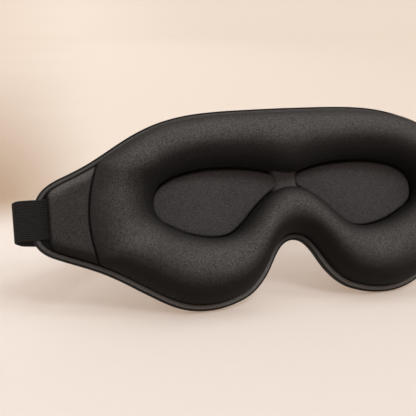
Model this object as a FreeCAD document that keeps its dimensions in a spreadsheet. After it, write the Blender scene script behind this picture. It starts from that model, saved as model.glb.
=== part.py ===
import FreeCAD, Part
import math
import os

# Contoured sleep mask (padded eye mask with deep eye cavities) and its elastic head strap.
# Every piece is drawn in the mask's own upright frame: X across the face, Z up the mask,
# -Y towards the face, +Y towards the outside. Each Placement then leans the mask back so
# that it stands on its two cheek lobes and on the strap hardware behind it.

V = FreeCAD.Vector
doc = FreeCAD.newDocument("sleep_mask")

# ------------------------------------------------------------------ driving dimensions (mm, degrees)
sheet = doc.addObject("Spreadsheet::Sheet", "Sizes")
ROWS = [
    ("lean_angle", 22.3), ("shift_back", -46.3802), ("shift_up", 0.71), ("floor_cut", 0.71),
    ("shell_thick", 2.4), ("cover_thick", 0.8), ("lining_thick", 0.9), ("lining_inset", 0.9),
    ("cushion_high", 15.2), ("cushion_skin", 0.8), ("cushion_inset", 3.3),
    ("dish_floor", 4.4), ("dish_wall", 0.8), ("recess_deep", 5.3), ("dome_top", 7.9), ("eye_dome_top", 10.6),
    ("pad_face", 1.0), ("pad_skin", 0.7),
    ("panel_high", 4.9), ("panel_skin", 0.6), ("slot_deep", 1.5),
    ("strap_wide", 18.0), ("strap_thick", 1.2), ("strap_low", 39.0), ("strap_plane", -1.5),
    ("stub_end", 122.6), ("stub_root", 102.0), ("run_start", 122.9), ("fold_vertex", 131.3), ("fold_radius", 1.8),
    ("rear_line", 86.0), ("rear_corner", 58.0), ("corner_radius", 25.0),
    ("ring_middle", 24.0), ("ring_bar", 1.8), ("ring_half", 5.0),
    ("slider_middle", -33.0), ("slider_half", 7.0), ("rail_low", 36.2), ("rail_high", 59.8), ("rail_thick", 2.2),
    ("thread_thick", 0.35),
]
SZ = {}
for i, (alias, value) in enumerate(ROWS):
    row = i + 1
    sheet.set("A%d" % row, alias)
    sheet.set("B%d" % row, repr(value))
    sheet.setAlias("B%d" % row, alias)
    SZ[alias] = value
doc.recompute()
for alias in list(SZ):
    SZ[alias] = float(sheet.get(alias))

# ------------------------------------------------------------------ outlines in the mask plane (x, z)
# Half outlines for x <= 0, mirrored to the other side.
FLANGE_HALF = [
    (0, 94.5), (-8, 94.45), (-16, 94.35), (-24, 94.25), (-32, 94.0), (-40, 93.5), (-48, 92.6), (-56, 91.0),
    (-64, 88.6), (-72, 85.2), (-80, 80.9), (-88, 76.1), (-96, 71.6), (-104, 67.9), (-110, 65.4), (-114.8, 62.7),
    (-117.9, 59.7), (-120.2, 55.4), (-121.8, 50.4), (-122.4, 45.4), (-122.2, 41.0), (-121.0, 36.9), (-118.8, 33.8),
    (-115.6, 31.4), (-111, 29.3), (-105, 26.9), (-98, 24.1), (-91, 20.9), (-84, 17.0), (-77, 12.6), (-70, 8.3),
    (-63.5, 4.5), (-58, 2.1), (-52.5, 0.6), (-47, 0.0), (-41.5, 0.1), (-36, 0.9), (-30.8, 2.3), (-26.2, 4.0),
    (-22, 6.5), (-18.2, 9.9), (-15, 13.6), (-12.2, 17.9), (-9.7, 22.2), (-7.2, 25.7), (-4.2, 28.4), (0, 29.5),
]
GOGGLE_HALF = [
    (0, 62.4), (-5.2, 63.3), (-10, 64.8), (-16.5, 66.3), (-23.3, 67.2), (-30, 67.6), (-36.7, 67.7), (-43.3, 67.3),
    (-50, 66.2), (-56.6, 64.5), (-61.6, 62.2), (-65.4, 59.2), (-67.6, 55.2), (-68.2, 50.5), (-67.2, 45.6),
    (-64.3, 42.0), (-59.4, 38.9), (-53.2, 35.7), (-46.9, 33.6), (-40.3, 32.5), (-33.8, 32.6), (-29.4, 34.0),
    (-25.6, 36.6), (-22.0, 40.0), (-18.4, 43.8), (-14.7, 47.4), (-10.6, 50.5), (-5.6, 53.1), (0, 54.1),
]
PAD_LEFT = [
    (-66.7, 50.5), (-66.0, 55.0), (-63.9, 58.4), (-60.4, 60.9), (-55.9, 63.0), (-49.8, 64.6), (-43.3, 65.6),
    (-36.7, 66.0), (-30.0, 65.9), (-23.3, 65.5), (-16.8, 64.6), (-10.6, 63.2), (-6.6, 61.9), (-5.0, 60.0),
    (-5.0, 57.4), (-6.6, 55.2), (-10.9, 52.1), (-15.2, 48.7), (-19.2, 44.8), (-23.0, 40.8), (-26.8, 37.4),
    (-30.6, 35.1), (-34.6, 34.1), (-40.3, 34.0), (-46.6, 35.2), (-52.9, 37.3), (-59.0, 40.4), (-63.4, 43.1),
    (-65.8, 46.2),
]


def closed_half(half):
    """Half outline, first and last points on the centre line, to the full closed loop."""
    return list(half) + [(-x, z) for x, z in reversed(half[1:-1])]


def mirrored(points):
    return [(-x, z) for x, z in reversed(points)]


def area(points):
    n = len(points)
    return 0.5 * sum(points[i][0] * points[(i + 1) % n][1] - points[(i + 1) % n][0] * points[i][1] for i in range(n))


def curve_of(points):
    """Closed cubic curve through (to within a hair) evenly spaced points."""
    n = len(points)
    poles = []
    for i in range(n):
        x0, z0 = points[i - 1]
        x1, z1 = points[i]
        x2, z2 = points[(i + 1) % n]
        poles.append(V(x1 - (x0 - 2 * x1 + x2) / 6.0, z1 - (z0 - 2 * z1 + z2) / 6.0, 0))
    c = Part.BSplineCurve()
    c.buildFromPoles(poles, True, 3)
    return c


def even(points, count):
    """The closed loop sampled at equal distances along its length."""
    n = len(points)
    length = [0.0]
    for i in range(n):
        x0, y0 = points[i]
        x1, y1 = points[(i + 1) % n]
        length.append(length[-1] + math.hypot(x1 - x0, y1 - y0))
    total, res, k = length[-1], [], 0
    for j in range(count):
        want = total * j / count
        while length[k + 1] < want:
            k += 1
        f = (want - length[k]) / max(1e-9, length[k + 1] - length[k])
        x0, y0 = points[k]
        x1, y1 = points[(k + 1) % n]
        res.append((x0 + f * (x1 - x0), y0 + f * (y1 - y0)))
    return res


def dense(points, per=12):
    """Smooth closed loop through unevenly spaced points."""
    n = len(points)
    out = []
    for i in range(n):
        p0, p1, p2, p3 = points[i - 1], points[i], points[(i + 1) % n], points[(i + 2) % n]
        t1 = max(1e-6, math.hypot(p1[0] - p0[0], p1[1] - p0[1])) ** 0.5
        t2 = t1 + max(1e-6, math.hypot(p2[0] - p1[0], p2[1] - p1[1])) ** 0.5
        t3 = t2 + max(1e-6, math.hypot(p3[0] - p2[0], p3[1] - p2[1])) ** 0.5
        for j in range(per):
            t = t1 + (t2 - t1) * j / per
            q = []
            for a in (0, 1):
                a1 = (t1 - t) / t1 * p0[a] + t / t1 * p1[a]
                a2 = (t2 - t) / (t2 - t1) * p1[a] + (t - t1) / (t2 - t1) * p2[a]
                a3 = (t3 - t) / (t3 - t2) * p2[a] + (t - t2) / (t3 - t2) * p3[a]
                b1 = (t2 - t) / t2 * a1 + t / t2 * a2
                b2 = (t3 - t) / (t3 - t1) * a2 + (t - t1) / (t3 - t1) * a3
                q.append((t2 - t) / (t2 - t1) * b1 + (t - t1) / (t2 - t1) * b2)
            out.append((q[0], q[1]))
    return out


def grown(points, d, count=84):
    """Closed loop moved outwards by d (inwards when d is negative), sampled evenly along its length."""
    raw = even(points, 720)
    n = len(raw)
    turn = 1.0 if area(raw) > 0 else -1.0
    out = []
    for i in range(n):
        px, py = raw[i - 2]
        qx, qy = raw[(i + 2) % n]
        tx, ty = qx - px, qy - py
        ln = math.hypot(tx, ty)
        tx, ty = tx / ln, ty / ln
        out.append((raw[i][0] + turn * ty * d, raw[i][1] - turn * tx * d))
    return even(out, count)


FLANGE = even(dense(closed_half(FLANGE_HALF)), 180)
GOGGLE = even(dense(closed_half(GOGGLE_HALF)), 96)
PAD_L = even(dense(PAD_LEFT), 60)
PAD_R = mirrored(PAD_L)


def seam_x(z):
    """The curved seam between the side panel and the cushion: bowed towards the tab."""
    return -96.8 + 0.0085 * (z - 45.0) ** 2


def inset_flange():
    return grown(FLANGE, -SZ["cushion_inset"], 360)


def cushion_outline():
    """The flange outline moved in, closed at each side by the curved seam, corners rounded."""
    pts = []
    for x, z in inset_flange():
        s = -1.0 if x < 0 else 1.0
        lim = -seam_x(z)
        pts.append((s * min(abs(x), lim), z) if abs(x) > lim else (x, z))
    # round the two corners where the seam meets the edge
    n = len(pts)
    pts = even(pts, n)
    for _ in range(10):
        pts = [((pts[i - 1][0] + 2 * pts[i][0] + pts[(i + 1) % n][0]) / 4,
                (pts[i - 1][1] + 2 * pts[i][1] + pts[(i + 1) % n][1]) / 4) for i in range(n)]
    return even(pts, 120)


def panel_outline():
    """Left side panel: between the tab's straight end, the inset edge and the seam."""
    left = -114.9
    loop = []
    for x, z in inset_flange():
        if x < 0 and x < seam_x(z) - 0.9:
            loop.append((max(x, left), z))
    zs = sorted(p[1] for p in loop if p[0] > left + 0.01)
    top = sorted([p for p in loop if p[1] > 48], key=lambda p: p[0])
    low = sorted([p for p in loop if p[1] <= 48], key=lambda p: -p[0])
    z1, z0 = top[-1][1], low[0][1]
    seam = []
    for i in range(1, 12):
        z = z1 + (z0 - z1) * i / 12.0
        seam.append((seam_x(z) - 0.9, z))
    end_top = [p for p in top if p[0] > left + 0.01]
    end_low = [p for p in low if p[0] > left + 0.01]
    zt, zl = 57.6, 38.4
    end_top = [p for p in end_top if p[0] > left + 1.6]
    end_low = [p for p in end_low if p[0] > left + 1.6]
    edge = [(left, zl + (zt - zl) * i / 8.0) for i in range(0, 9)]
    pts = edge + end_top + seam + end_low
    # even spacing, then a light rounding of the corners
    m = 144
    res = even(pts, m)
    for _ in range(10):
        res = [((res[i - 1][0] + 2 * res[i][0] + res[(i + 1) % m][0]) / 4,
                (res[i - 1][1] + 2 * res[i][1] + res[(i + 1) % m][1]) / 4) for i in range(m)]
    return even(res, 72)


CUSHION = cushion_outline()
PANEL_L = panel_outline()
PANEL_R = mirrored(PANEL_L)

# ------------------------------------------------------------------ helpers
LEAN = FreeCAD.Placement(V(0, SZ["shift_back"], SZ["shift_up"]), FreeCAD.Rotation(V(1, 0, 0), -SZ["lean_angle"]))
nodes = {}


def origin_plane(body, role):
    for f in body.Origin.OriginFeatures:
        if f.Role == role:
            return f
    raise RuntimeError("no plane " + role)


def new_body(label):
    b = doc.addObject("PartDesign::Body", label + "_body")
    return b


def add_sketch(b, name, role, geometry, offset_expr):
    sk = b.newObject("Sketcher::SketchObject", name)
    sk.AttachmentSupport = [(origin_plane(b, role), "")]
    sk.MapMode = "FlatFace"
    sk.AttachmentOffset = FreeCAD.Placement(V(0, 0, 0), FreeCAD.Rotation())
    sk.setExpression("AttachmentOffset.Base.z", offset_expr)
    for g in geometry:
        sk.addGeometry(g, False)
    return sk


def add_pad(b, name, sk, length_expr):
    p = b.newObject("PartDesign::Pad", name)
    p.Profile = sk
    p.Length = 1.0
    p.setExpression("Length", length_expr)
    return p


def add_pocket(b, name, sk, length_expr, toward_normal=False):
    p = b.newObject("PartDesign::Pocket", name)
    p.Profile = sk
    p.Length = 1.0
    p.setExpression("Length", length_expr)
    p.Reversed = toward_normal
    return p


def rect(x0, z0, x1, z1):
    a, b_, c, d = V(x0, z0, 0), V(x1, z0, 0), V(x1, z1, 0), V(x0, z1, 0)
    return [Part.LineSegment(a, b_), Part.LineSegment(b_, c), Part.LineSegment(c, d), Part.LineSegment(d, a)]


def finish_node(obj, label):
    obj.Label = label
    obj.Placement = LEAN
    nodes[label] = obj


def prism(points, y_out, y_in):
    """Solid between y_in (towards the face) and y_out, from a closed outline."""
    face = Part.Face(Part.Wire(curve_of(points).toShape()))
    face.rotate(V(0, 0, 0), V(1, 0, 0), 90)
    face.translate(V(0, y_out, 0))
    return face.extrude(V(0, y_in - y_out, 0))


def loft(sections):
    """Solid through closed outlines given as (points, y)."""
    wires = []
    for points, y in sections:
        w = Part.Wire(curve_of(points).toShape())
        w.rotate(V(0, 0, 0), V(1, 0, 0), 90)
        w.translate(V(0, y, 0))
        wires.append(w)
    return Part.makeLoft(wires, True, True)


def ellipse_points(cx, cz, a, b, tilt, n=36):
    out = []
    ct, st = math.cos(math.radians(tilt)), math.sin(math.radians(tilt))
    for i in range(n):
        t = 2 * math.pi * i / n
        x, z = a * math.cos(t), b * math.sin(t)
        out.append((cx + x * ct - z * st, cz + x * st + z * ct))
    return out


# ------------------------------------------------------------------ outer shell and outer cover (moulded, domed over the eyes)
def moulded(extra):
    """Outside form of the shell grown outwards by extra: flange plate, raised goggle form, one dome per eye."""
    plate = prism(FLANGE, SZ["shell_thick"] + extra, 0.0)
    raised = loft([(grown(GOGGLE, 10.0 + extra), 0.5 * SZ["shell_thick"]), (grown(GOGGLE, 7.5 + extra), 5.2 + extra),
                   (grown(GOGGLE, 4.0 + extra), SZ["dome_top"] + extra)])
    body = plate.fuse(raised)
    for s in (-1, 1):
        dome = loft([(ellipse_points(s * 38.0, 50.8, 33.0 + extra, 17.5 + extra, s * -6), SZ["dome_top"] - 1.6),
                     (ellipse_points(s * 38.0, 50.8, 30.5 + extra, 15.5 + extra, s * -6), SZ["dome_top"] + 0.9 + extra),
                     (ellipse_points(s * 38.0, 50.8, 23.0 + extra, 10.5 + extra, s * -6), SZ["eye_dome_top"] + extra)])
        body = body.fuse(dome)
    return body.removeSplitter()


floor_block = Part.makeBox(400, 60, 40, V(-200, -30, -40))
# the floor is level once the mask leans back: it trims a narrow flat on each cheek lobe
floor_block.rotate(V(0, 0, 0), V(1, 0, 0), 0)
floor_in_mask = floor_block.copy()
floor_in_mask.translate(V(0, 0, -SZ["floor_cut"]))
floor_in_mask.rotate(V(0, 0, 0), V(1, 0, 0), SZ["lean_angle"])

shell_outside = moulded(0.0)
recess = prism(grown(GOGGLE, 1.0), SZ["recess_deep"], -1.0)
shell_shape = shell_outside.cut(recess).cut(floor_in_mask)
cover_shape = moulded(SZ["cover_thick"]).cut(shell_outside).cut(prism(grown(FLANGE, 6.0), 0.0, -3.0)).cut(floor_in_mask)
# the cover is only the skin that lies on the outside of the shell
cover_shape = cover_shape.cut(prism(grown(FLANGE, 6.0), SZ["shell_thick"], -3.0))
for name, shp in (("outer_shell", shell_shape), ("outer_cover", cover_shape)):
    f = doc.addObject("Part::Feature", name)
    shp = shp.removeSplitter()
    f.Shape = shp.Solids[0] if len(shp.Solids) == 1 else shp
    finish_node(f, name)

# ------------------------------------------------------------------ base lining: inset flange layer with the sunken eye dish
b = new_body("base_lining")
sk = add_sketch(b, "lining_sheet_sketch", "XZ_Plane", [curve_of(grown(FLANGE, -SZ["lining_inset"], 180))], "0 mm")
add_pad(b, "lining_sheet", sk, "Sizes.lining_thick")
sk = add_sketch(b, "dish_sketch", "XZ_Plane", [curve_of(grown(GOGGLE, 0.9))], "-(Sizes.dish_floor + Sizes.dish_wall)")
add_pad(b, "dish_body", sk, "Sizes.dish_floor + Sizes.dish_wall")
sk = add_sketch(b, "dish_hollow_sketch", "XZ_Plane", [curve_of(grown(GOGGLE, 0.1))], "Sizes.lining_thick")
add_pocket(b, "dish_hollow", sk, "Sizes.lining_thick + Sizes.dish_floor")
doc.recompute()
finish_node(b, "base_lining")

# ------------------------------------------------------------------ cushion ring: fabric cover over a foam core
outer_loop = CUSHION
core_loop = grown(CUSHION, -SZ["cushion_skin"], 120)
inner_loop = GOGGLE
inner_core = grown(GOGGLE, SZ["cushion_skin"], 96)

b = new_body("cushion_foam")
sk = add_sketch(b, "foam_sketch", "XZ_Plane", [curve_of(core_loop), curve_of(inner_core)], "Sizes.lining_thick")
add_pad(b, "foam_ring", sk, "Sizes.cushion_high - Sizes.cushion_skin")
finish_node(b, "cushion_foam")

b = new_body("cushion_cover")
sk = add_sketch(b, "cover_sketch", "XZ_Plane", [curve_of(outer_loop), curve_of(inner_loop)], "Sizes.lining_thick")
add_pad(b, "cover_ring", sk, "Sizes.cushion_high")
sk = add_sketch(b, "cover_hollow_sketch", "XZ_Plane", [curve_of(core_loop), curve_of(inner_core)],
                "Sizes.lining_thick + Sizes.cushion_high - Sizes.cushion_skin")
add_pocket(b, "cover_hollow", sk, "Sizes.cushion_high - Sizes.cushion_skin")
finish_node(b, "cushion_cover")
doc.recompute()

# ------------------------------------------------------------------ eye pads: foam disc with a fabric cap, resting in the dish
for side, loop in (("left", PAD_L), ("right", PAD_R)):
    b = new_body("eye_pad_foam_" + side)
    sk = add_sketch(b, "pad_foam_sketch_" + side, "XZ_Plane", [curve_of(grown(loop, -SZ["pad_skin"]))], "-Sizes.dish_floor")
    add_pad(b, "pad_foam_" + side, sk, "Sizes.dish_floor - Sizes.pad_face - Sizes.pad_skin")
    finish_node(b, "eye_pad_foam_" + side)
    b = new_body("eye_pad_cover_" + side)
    sk = add_sketch(b, "pad_cap_sketch_" + side, "XZ_Plane", [curve_of(loop)], "-Sizes.dish_floor")
    add_pad(b, "pad_cap_" + side, sk, "Sizes.dish_floor - Sizes.pad_face")
    sk = add_sketch(b, "pad_cap_hollow_sketch_" + side, "XZ_Plane", [curve_of(grown(loop, -SZ["pad_skin"]))],
                    "-(Sizes.pad_face + Sizes.pad_skin)")
    add_pocket(b, "pad_cap_hollow_" + side, sk, "Sizes.dish_floor - Sizes.pad_face - Sizes.pad_skin")
    finish_node(b, "eye_pad_cover_" + side)
doc.recompute()

# ------------------------------------------------------------------ side panels, strap anchors and their stitching
zc = SZ["strap_low"] + 0.5 * SZ["strap_wide"]
for side, s, loop in (("left", -1, PANEL_L), ("right", 1, PANEL_R)):
    inner = grown(loop, -SZ["panel_skin"], 72)
    slot = rect(min(s * 100.5, s * 118.0), SZ["strap_low"] - 0.2, max(s * 100.5, s * 118.0), SZ["strap_low"] + SZ["strap_wide"] + 0.2)
    b = new_body("side_panel_foam_" + side)
    sk = add_sketch(b, "panel_foam_sketch_" + side, "XZ_Plane", [curve_of(inner)], "Sizes.lining_thick")
    add_pad(b, "panel_foam_" + side, sk, "Sizes.panel_high - Sizes.panel_skin")
    sk = add_sketch(b, "panel_slot_sketch_" + side, "XZ_Plane", slot, "Sizes.lining_thick + Sizes.slot_deep")
    add_pocket(b, "panel_slot_" + side, sk, "Sizes.slot_deep")
    finish_node(b, "side_panel_foam_" + side)
    b = new_body("side_panel_cover_" + side)
    sk = add_sketch(b, "panel_cap_sketch_" + side, "XZ_Plane", [curve_of(loop)], "Sizes.lining_thick")
    add_pad(b, "panel_cap_" + side, sk, "Sizes.panel_high")
    sk = add_sketch(b, "panel_cap_hollow_sketch_" + side, "XZ_Plane", [curve_of(inner)], "Sizes.lining_thick + Sizes.panel_high - Sizes.panel_skin")
    add_pocket(b, "panel_cap_hollow_" + side, sk, "Sizes.panel_high - Sizes.panel_skin")
    sk = add_sketch(b, "panel_mouth_sketch_" + side, "XZ_Plane", rect(min(s * 100.5, s * 118.0), SZ["strap_low"] - 0.2, max(s * 100.5, s * 118.0),
                    SZ["strap_low"] + SZ["strap_wide"] + 0.2), "Sizes.lining_thick + Sizes.slot_deep")
    add_pocket(b, "panel_mouth_" + side, sk, "Sizes.slot_deep")
    finish_node(b, "side_panel_cover_" + side)
    # the sewn end of the elastic, from under the panel to just past the tab's tip
    stub = doc.addObject("Part::Box", "strap_anchor_" + side)
    stub.setExpression("Length", "Sizes.stub_end - Sizes.stub_root")
    stub.setExpression("Width", "Sizes.strap_thick")
    stub.setExpression("Height", "Sizes.strap_wide")
    x0 = -SZ["stub_end"] if s < 0 else SZ["stub_root"]
    stub.Label = "strap_anchor_" + side
    stub.Placement = LEAN.multiply(FreeCAD.Placement(V(x0, SZ["strap_plane"] - 0.5 * SZ["strap_thick"], SZ["strap_low"]), FreeCAD.Rotation()))
    nodes["strap_anchor_" + side] = stub
    # box stitch with a cross, thread lying on the outer cover behind the anchor
    tt = SZ["thread_thick"]
    y0 = SZ["shell_thick"] + SZ["cover_thick"]
    xa, xb, za, zb = 103.5, 113.5, zc - 7.0, zc + 7.0
    threads = []

    def thread_line(xs, zs, xe, ze, count):
        for i in range(count):
            f0, f1 = (i + 0.12) / count, (i + 0.88) / count
            p0 = V(s * (xs + (xe - xs) * f0), 0, zs + (ze - zs) * f0)
            p1 = V(s * (xs + (xe - xs) * f1), 0, zs + (ze - zs) * f1)
            d = p1 - p0
            ln = d.Length
            bar = Part.makeBox(ln, tt, 0.5, V(0, 0, -0.25))
            bar.rotate(V(0, 0, 0), V(0, 1, 0), -math.degrees(math.atan2(d.z, d.x)))
            bar.translate(V(p0.x, y0, p0.z))
            threads.append(bar)

    thread_line(xa, za, xb, za, 4)
    thread_line(xa, zb, xb, zb, 4)
    thread_line(xa, za + 0.6, xa, zb - 0.6, 5)
    thread_line(xb, za + 0.6, xb, zb - 0.6, 5)
    thread_line(xa + 0.8, za + 1.1, (xa + xb) / 2 - 0.5, zc - 0.7, 2)
    thread_line((xa + xb) / 2 + 0.5, zc + 0.7, xb - 0.8, zb - 1.1, 2)
    thread_line(xa + 0.8, zb - 1.1, (xa + xb) / 2 - 0.5, zc + 0.7, 2)
    thread_line((xa + xb) / 2 + 0.5, zc - 0.7, xb - 0.8, za + 1.1, 2)
    f = doc.addObject("Part::Feature", "anchor_stitching_" + side)
    f.Shape = Part.makeCompound(threads)
    finish_node(f, "anchor_stitching_" + side)
doc.recompute()


# ------------------------------------------------------------------ elastic straps: flat band following a line of runs and tangent arcs
def rounded_path(points, radii):
    """Runs and arcs through the points; returns [('L', p, q)] and [('A', centre, radius, start angle, sweep)]."""
    segs = []
    cur = V(*points[0], 0)
    for i in range(1, len(points) - 1):
        p, c, q = V(*points[i - 1], 0), V(*points[i], 0), V(*points[i + 1], 0)
        d0, d1 = c - p, q - c
        d0.normalize()
        d1.normalize()
        turn = math.atan2(d0.x * d1.y - d0.y * d1.x, d0.x * d1.x + d0.y * d1.y)
        r = radii[i - 1]
        tl = r * math.tan(abs(turn) / 2)
        a = c - d0 * tl
        if (a - cur).Length > 1e-4:
            segs.append(("L", cur, a))
        sgn = 1.0 if turn > 0 else -1.0
        nrm = V(-d0.y, d0.x, 0) * sgn
        centre = a + nrm * r
        start = math.atan2(a.y - centre.y, a.x - centre.x)
        segs.append(("A", centre, r, start, turn))
        cur = c + d1 * tl
    last = V(*points[-1], 0)
    if (last - cur).Length > 1e-4:
        segs.append(("L", cur, last))
    return segs


def path_length(segs):
    return sum((s_[2] - s_[1]).Length if s_[0] == "L" else s_[2] * abs(s_[4]) for s_ in segs)


def band_profile(segs, half):
    """Closed outline of a band of the given half thickness along the path, as lines and arcs."""
    left, right = [], []
    for sg in segs:
        if sg[0] == "L":
            d = sg[2] - sg[1]
            d.normalize()
            n = V(-d.y, d.x, 0) * half
            left.append(("L", sg[1] + n, sg[2] + n))
            right.append(("L", sg[1] - n, sg[2] - n))
        else:
            _, c, r, a0, turn = sg
            sgn = 1.0 if turn > 0 else -1.0
            for store, off in ((left, -sgn * half), (right, sgn * half)):
                rr = r + off
                p0 = c + V(math.cos(a0), math.sin(a0), 0) * rr
                p1 = c + V(math.cos(a0 + turn / 2), math.sin(a0 + turn / 2), 0) * rr
                p2 = c + V(math.cos(a0 + turn), math.sin(a0 + turn), 0) * rr
                store.append(("A", p0, p1, p2))
    geo = []

    def emit(item):
        if item[0] == "L":
            geo.append(Part.LineSegment(item[1], item[2]))
        else:
            geo.append(Part.Arc(item[1], item[2], item[3]))

    for it in left:
        emit(it)
    end_l = left[-1][2] if left[-1][0] == "L" else left[-1][3]
    end_r = right[-1][2] if right[-1][0] == "L" else right[-1][3]
    geo.append(Part.LineSegment(end_l, end_r))
    for it in reversed(right):
        emit(it)
    geo.append(Part.LineSegment(right[0][1], left[0][1]))
    return geo


def band_node(label, points, radii):
    segs = rounded_path(points, radii)
    b = new_body(label)
    sk = add_sketch(b, label + "_sketch", "XY_Plane", band_profile(segs, 0.5 * SZ["strap_thick"]), "Sizes.strap_low")
    add_pad(b, label + "_band", sk, "Sizes.strap_wide")
    finish_node(b, label)
    print(label, "centre line %.1f mm, radii" % path_length(segs), [round(x[2], 2) for x in segs if x[0] == "A"])
    return path_length(segs)


rear = SZ["rear_line"]
ring_y = rear + 1.95
sp = SZ["strap_plane"]
bar_l = SZ["ring_middle"] - SZ["ring_half"]
bar_r = SZ["ring_middle"] + SZ["ring_half"]
lengths = {}
# long strap: tab, fold, rear run under the slider, round the ring's near bar
lengths["strap_left"] = band_node("strap_left", [
    (-SZ["run_start"], sp), (-SZ["fold_vertex"], sp), (-SZ["rear_corner"], rear), (bar_l + 1.95, rear), (bar_l + 1.95, rear + 3.9),
    (bar_l - 3.0, rear + 3.9)], [SZ["fold_radius"], SZ["corner_radius"], 1.95, 1.95])
# short strap: tab, fold, rear run, sewn loop on the ring's far bar
lengths["strap_right"] = band_node("strap_right", [
    (SZ["run_start"], sp), (SZ["fold_vertex"], sp), (SZ["rear_corner"], rear + 1.3), (bar_r + 5.0, rear + 1.3), (bar_r + 2.0, rear + 0.15),
    (bar_r - 1.8, rear + 0.15), (bar_r - 1.8, rear + 3.75), (bar_r + 2.0, rear + 3.75), (bar_r + 5.0, rear + 2.6), (bar_r + 13.0, rear + 2.6)],
    [SZ["fold_radius"], SZ["corner_radius"], 1.6, 1.6, 1.8, 1.8, 1.6, 1.6])
# return run between the slider and the ring
lengths["strap_return"] = band_node("strap_return", [(SZ["slider_middle"] + 9.3, rear + 3.9), (0.0, rear + 3.9), (bar_l - 3.3, rear + 3.9)], [0.0]) \
    if False else band_node("strap_return", [(SZ["slider_middle"] + 9.3, rear + 3.9), (bar_l - 3.3, rear + 3.9)], [])
# sewn end of the long strap round the slider's middle bar
sx = SZ["slider_middle"]
lengths["slider_loop"] = band_node("slider_loop", [
    (sx + 9.0, rear + 2.6), (sx + 4.6, rear + 2.6), (sx + 1.8, rear + 1.6), (sx - 1.7, rear + 1.6), (sx - 1.7, rear + 5.0),
    (sx + 1.8, rear + 5.0), (sx + 4.6, rear + 3.9), (sx + 9.0, rear + 3.9)], [1.6, 1.6, 1.7, 1.7, 1.6, 1.6])

# ------------------------------------------------------------------ ring: rectangular loop that joins the two straps
b = new_body("ring")
half_w = SZ["ring_half"] + 0.5 * SZ["ring_bar"]
zl, zh = SZ["rail_low"], SZ["rail_high"]


def round_rect(x0, z0, x1, z1, r):
    g = [Part.LineSegment(V(x0 + r, z0, 0), V(x1 - r, z0, 0)),
         Part.Arc(V(x1 - r, z0, 0), V(x1 - r + r * math.sin(math.pi / 4), z0 + r - r * math.cos(math.pi / 4), 0), V(x1, z0 + r, 0)),
         Part.LineSegment(V(x1, z0 + r, 0), V(x1, z1 - r, 0)),
         Part.Arc(V(x1, z1 - r, 0), V(x1 - r + r * math.cos(math.pi / 4), z1 - r + r * math.sin(math.pi / 4), 0), V(x1 - r, z1, 0)),
         Part.LineSegment(V(x1 - r, z1, 0), V(x0 + r, z1, 0)),
         Part.Arc(V(x0 + r, z1, 0), V(x0 + r - r * math.sin(math.pi / 4), z1 - r + r * math.cos(math.pi / 4), 0), V(x0, z1 - r, 0)),
         Part.LineSegment(V(x0, z1 - r, 0), V(x0, z0 + r, 0)),
         Part.Arc(V(x0, z0 + r, 0), V(x0 + r - r * math.cos(math.pi / 4), z0 + r - r * math.sin(math.pi / 4), 0), V(x0 + r, z0, 0))]
    return g


rm = SZ["ring_middle"]
sk = add_sketch(b, "ring_sketch", "XZ_Plane",
                round_rect(rm - half_w, zl, rm + half_w, zh, 2.2) +
                round_rect(rm - half_w + SZ["ring_bar"], zl + 2.0, rm + half_w - SZ["ring_bar"], zh - 2.0, 0.8),
                "-(Sizes.rear_line + 1.95 + Sizes.ring_bar / 2)")
pad = add_pad(b, "ring_frame", sk, "Sizes.ring_bar")
doc.recompute()
fil = b.newObject("PartDesign::Fillet", "ring_rounding")
edges = []
for i, e in enumerate(pad.Shape.Edges):
    ys = [v.Point.y for v in e.Vertexes]
    if abs(ys[0] - ys[-1]) < 1e-6 and (e.BoundBox.YLength < 1e-6):
        edges.append("Edge%d" % (i + 1))
fil.Base = (pad, edges)
fil.Radius = 0.55
doc.recompute()
finish_node(b, "ring")

# ------------------------------------------------------------------ slider: two rails, two inner side bars, one raised middle bar
b = new_body("slider")
hw = SZ["slider_half"]
y_in, y_out = rear - 2.1, rear + 4.1
sk = add_sketch(b, "rail_sketch", "XZ_Plane", round_rect(sx - hw, zl, sx + hw, zl + SZ["rail_thick"], 0.9) +
                round_rect(sx - hw, zh - SZ["rail_thick"], sx + hw, zh, 0.9), "-(Sizes.rear_line + 4.1)")
add_pad(b, "rails", sk, "6.2 mm")
bars = rect(sx - hw + 0.2, zl + 1.0, sx - hw + 2.4, zh - 1.0) + rect(sx + hw - 2.4, zl + 1.0, sx + hw - 0.2, zh - 1.0)
sk = add_sketch(b, "side_bar_sketch", "XZ_Plane", bars, "-(Sizes.rear_line - 0.9)")
add_pad(b, "side_bars", sk, "1.2 mm")
sk = add_sketch(b, "middle_bar_sketch", "XZ_Plane", rect(sx - 0.8, zl + 1.0, sx + 0.8, zh - 1.0), "-(Sizes.rear_line + 4.1)")
add_pad(b, "middle_bar", sk, "1.6 mm")
finish_node(b, "slider")
doc.recompute()


# ------------------------------------------------------------------ bar stitches that close the two loops
def bar_stitch(label, x_mid, y_face):
    bars_ = []
    count = 11
    for i in range(count):
        z = SZ["strap_low"] + 1.6 + (SZ["strap_wide"] - 3.2) * i / (count - 1)
        bar = Part.makeBox(2.6, SZ["thread_thick"], 0.55, V(-1.3, 0, -0.27))
        bar.rotate(V(0, 0, 0), V(0, 1, 0), 14 if i % 2 else -14)
        bar.translate(V(x_mid, y_face, z))
        bars_.append(bar)
    f = doc.addObject("Part::Feature", label)
    f.Shape = Part.makeCompound(bars_)
    finish_node(f, label)


bar_stitch("ring_stitching", bar_r + 8.2, rear + 2.6 + 0.5 * SZ["strap_thick"])
bar_stitch("slider_stitching", sx + 6.9, rear + 3.9 + 0.5 * SZ["strap_thick"])
doc.recompute()

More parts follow.
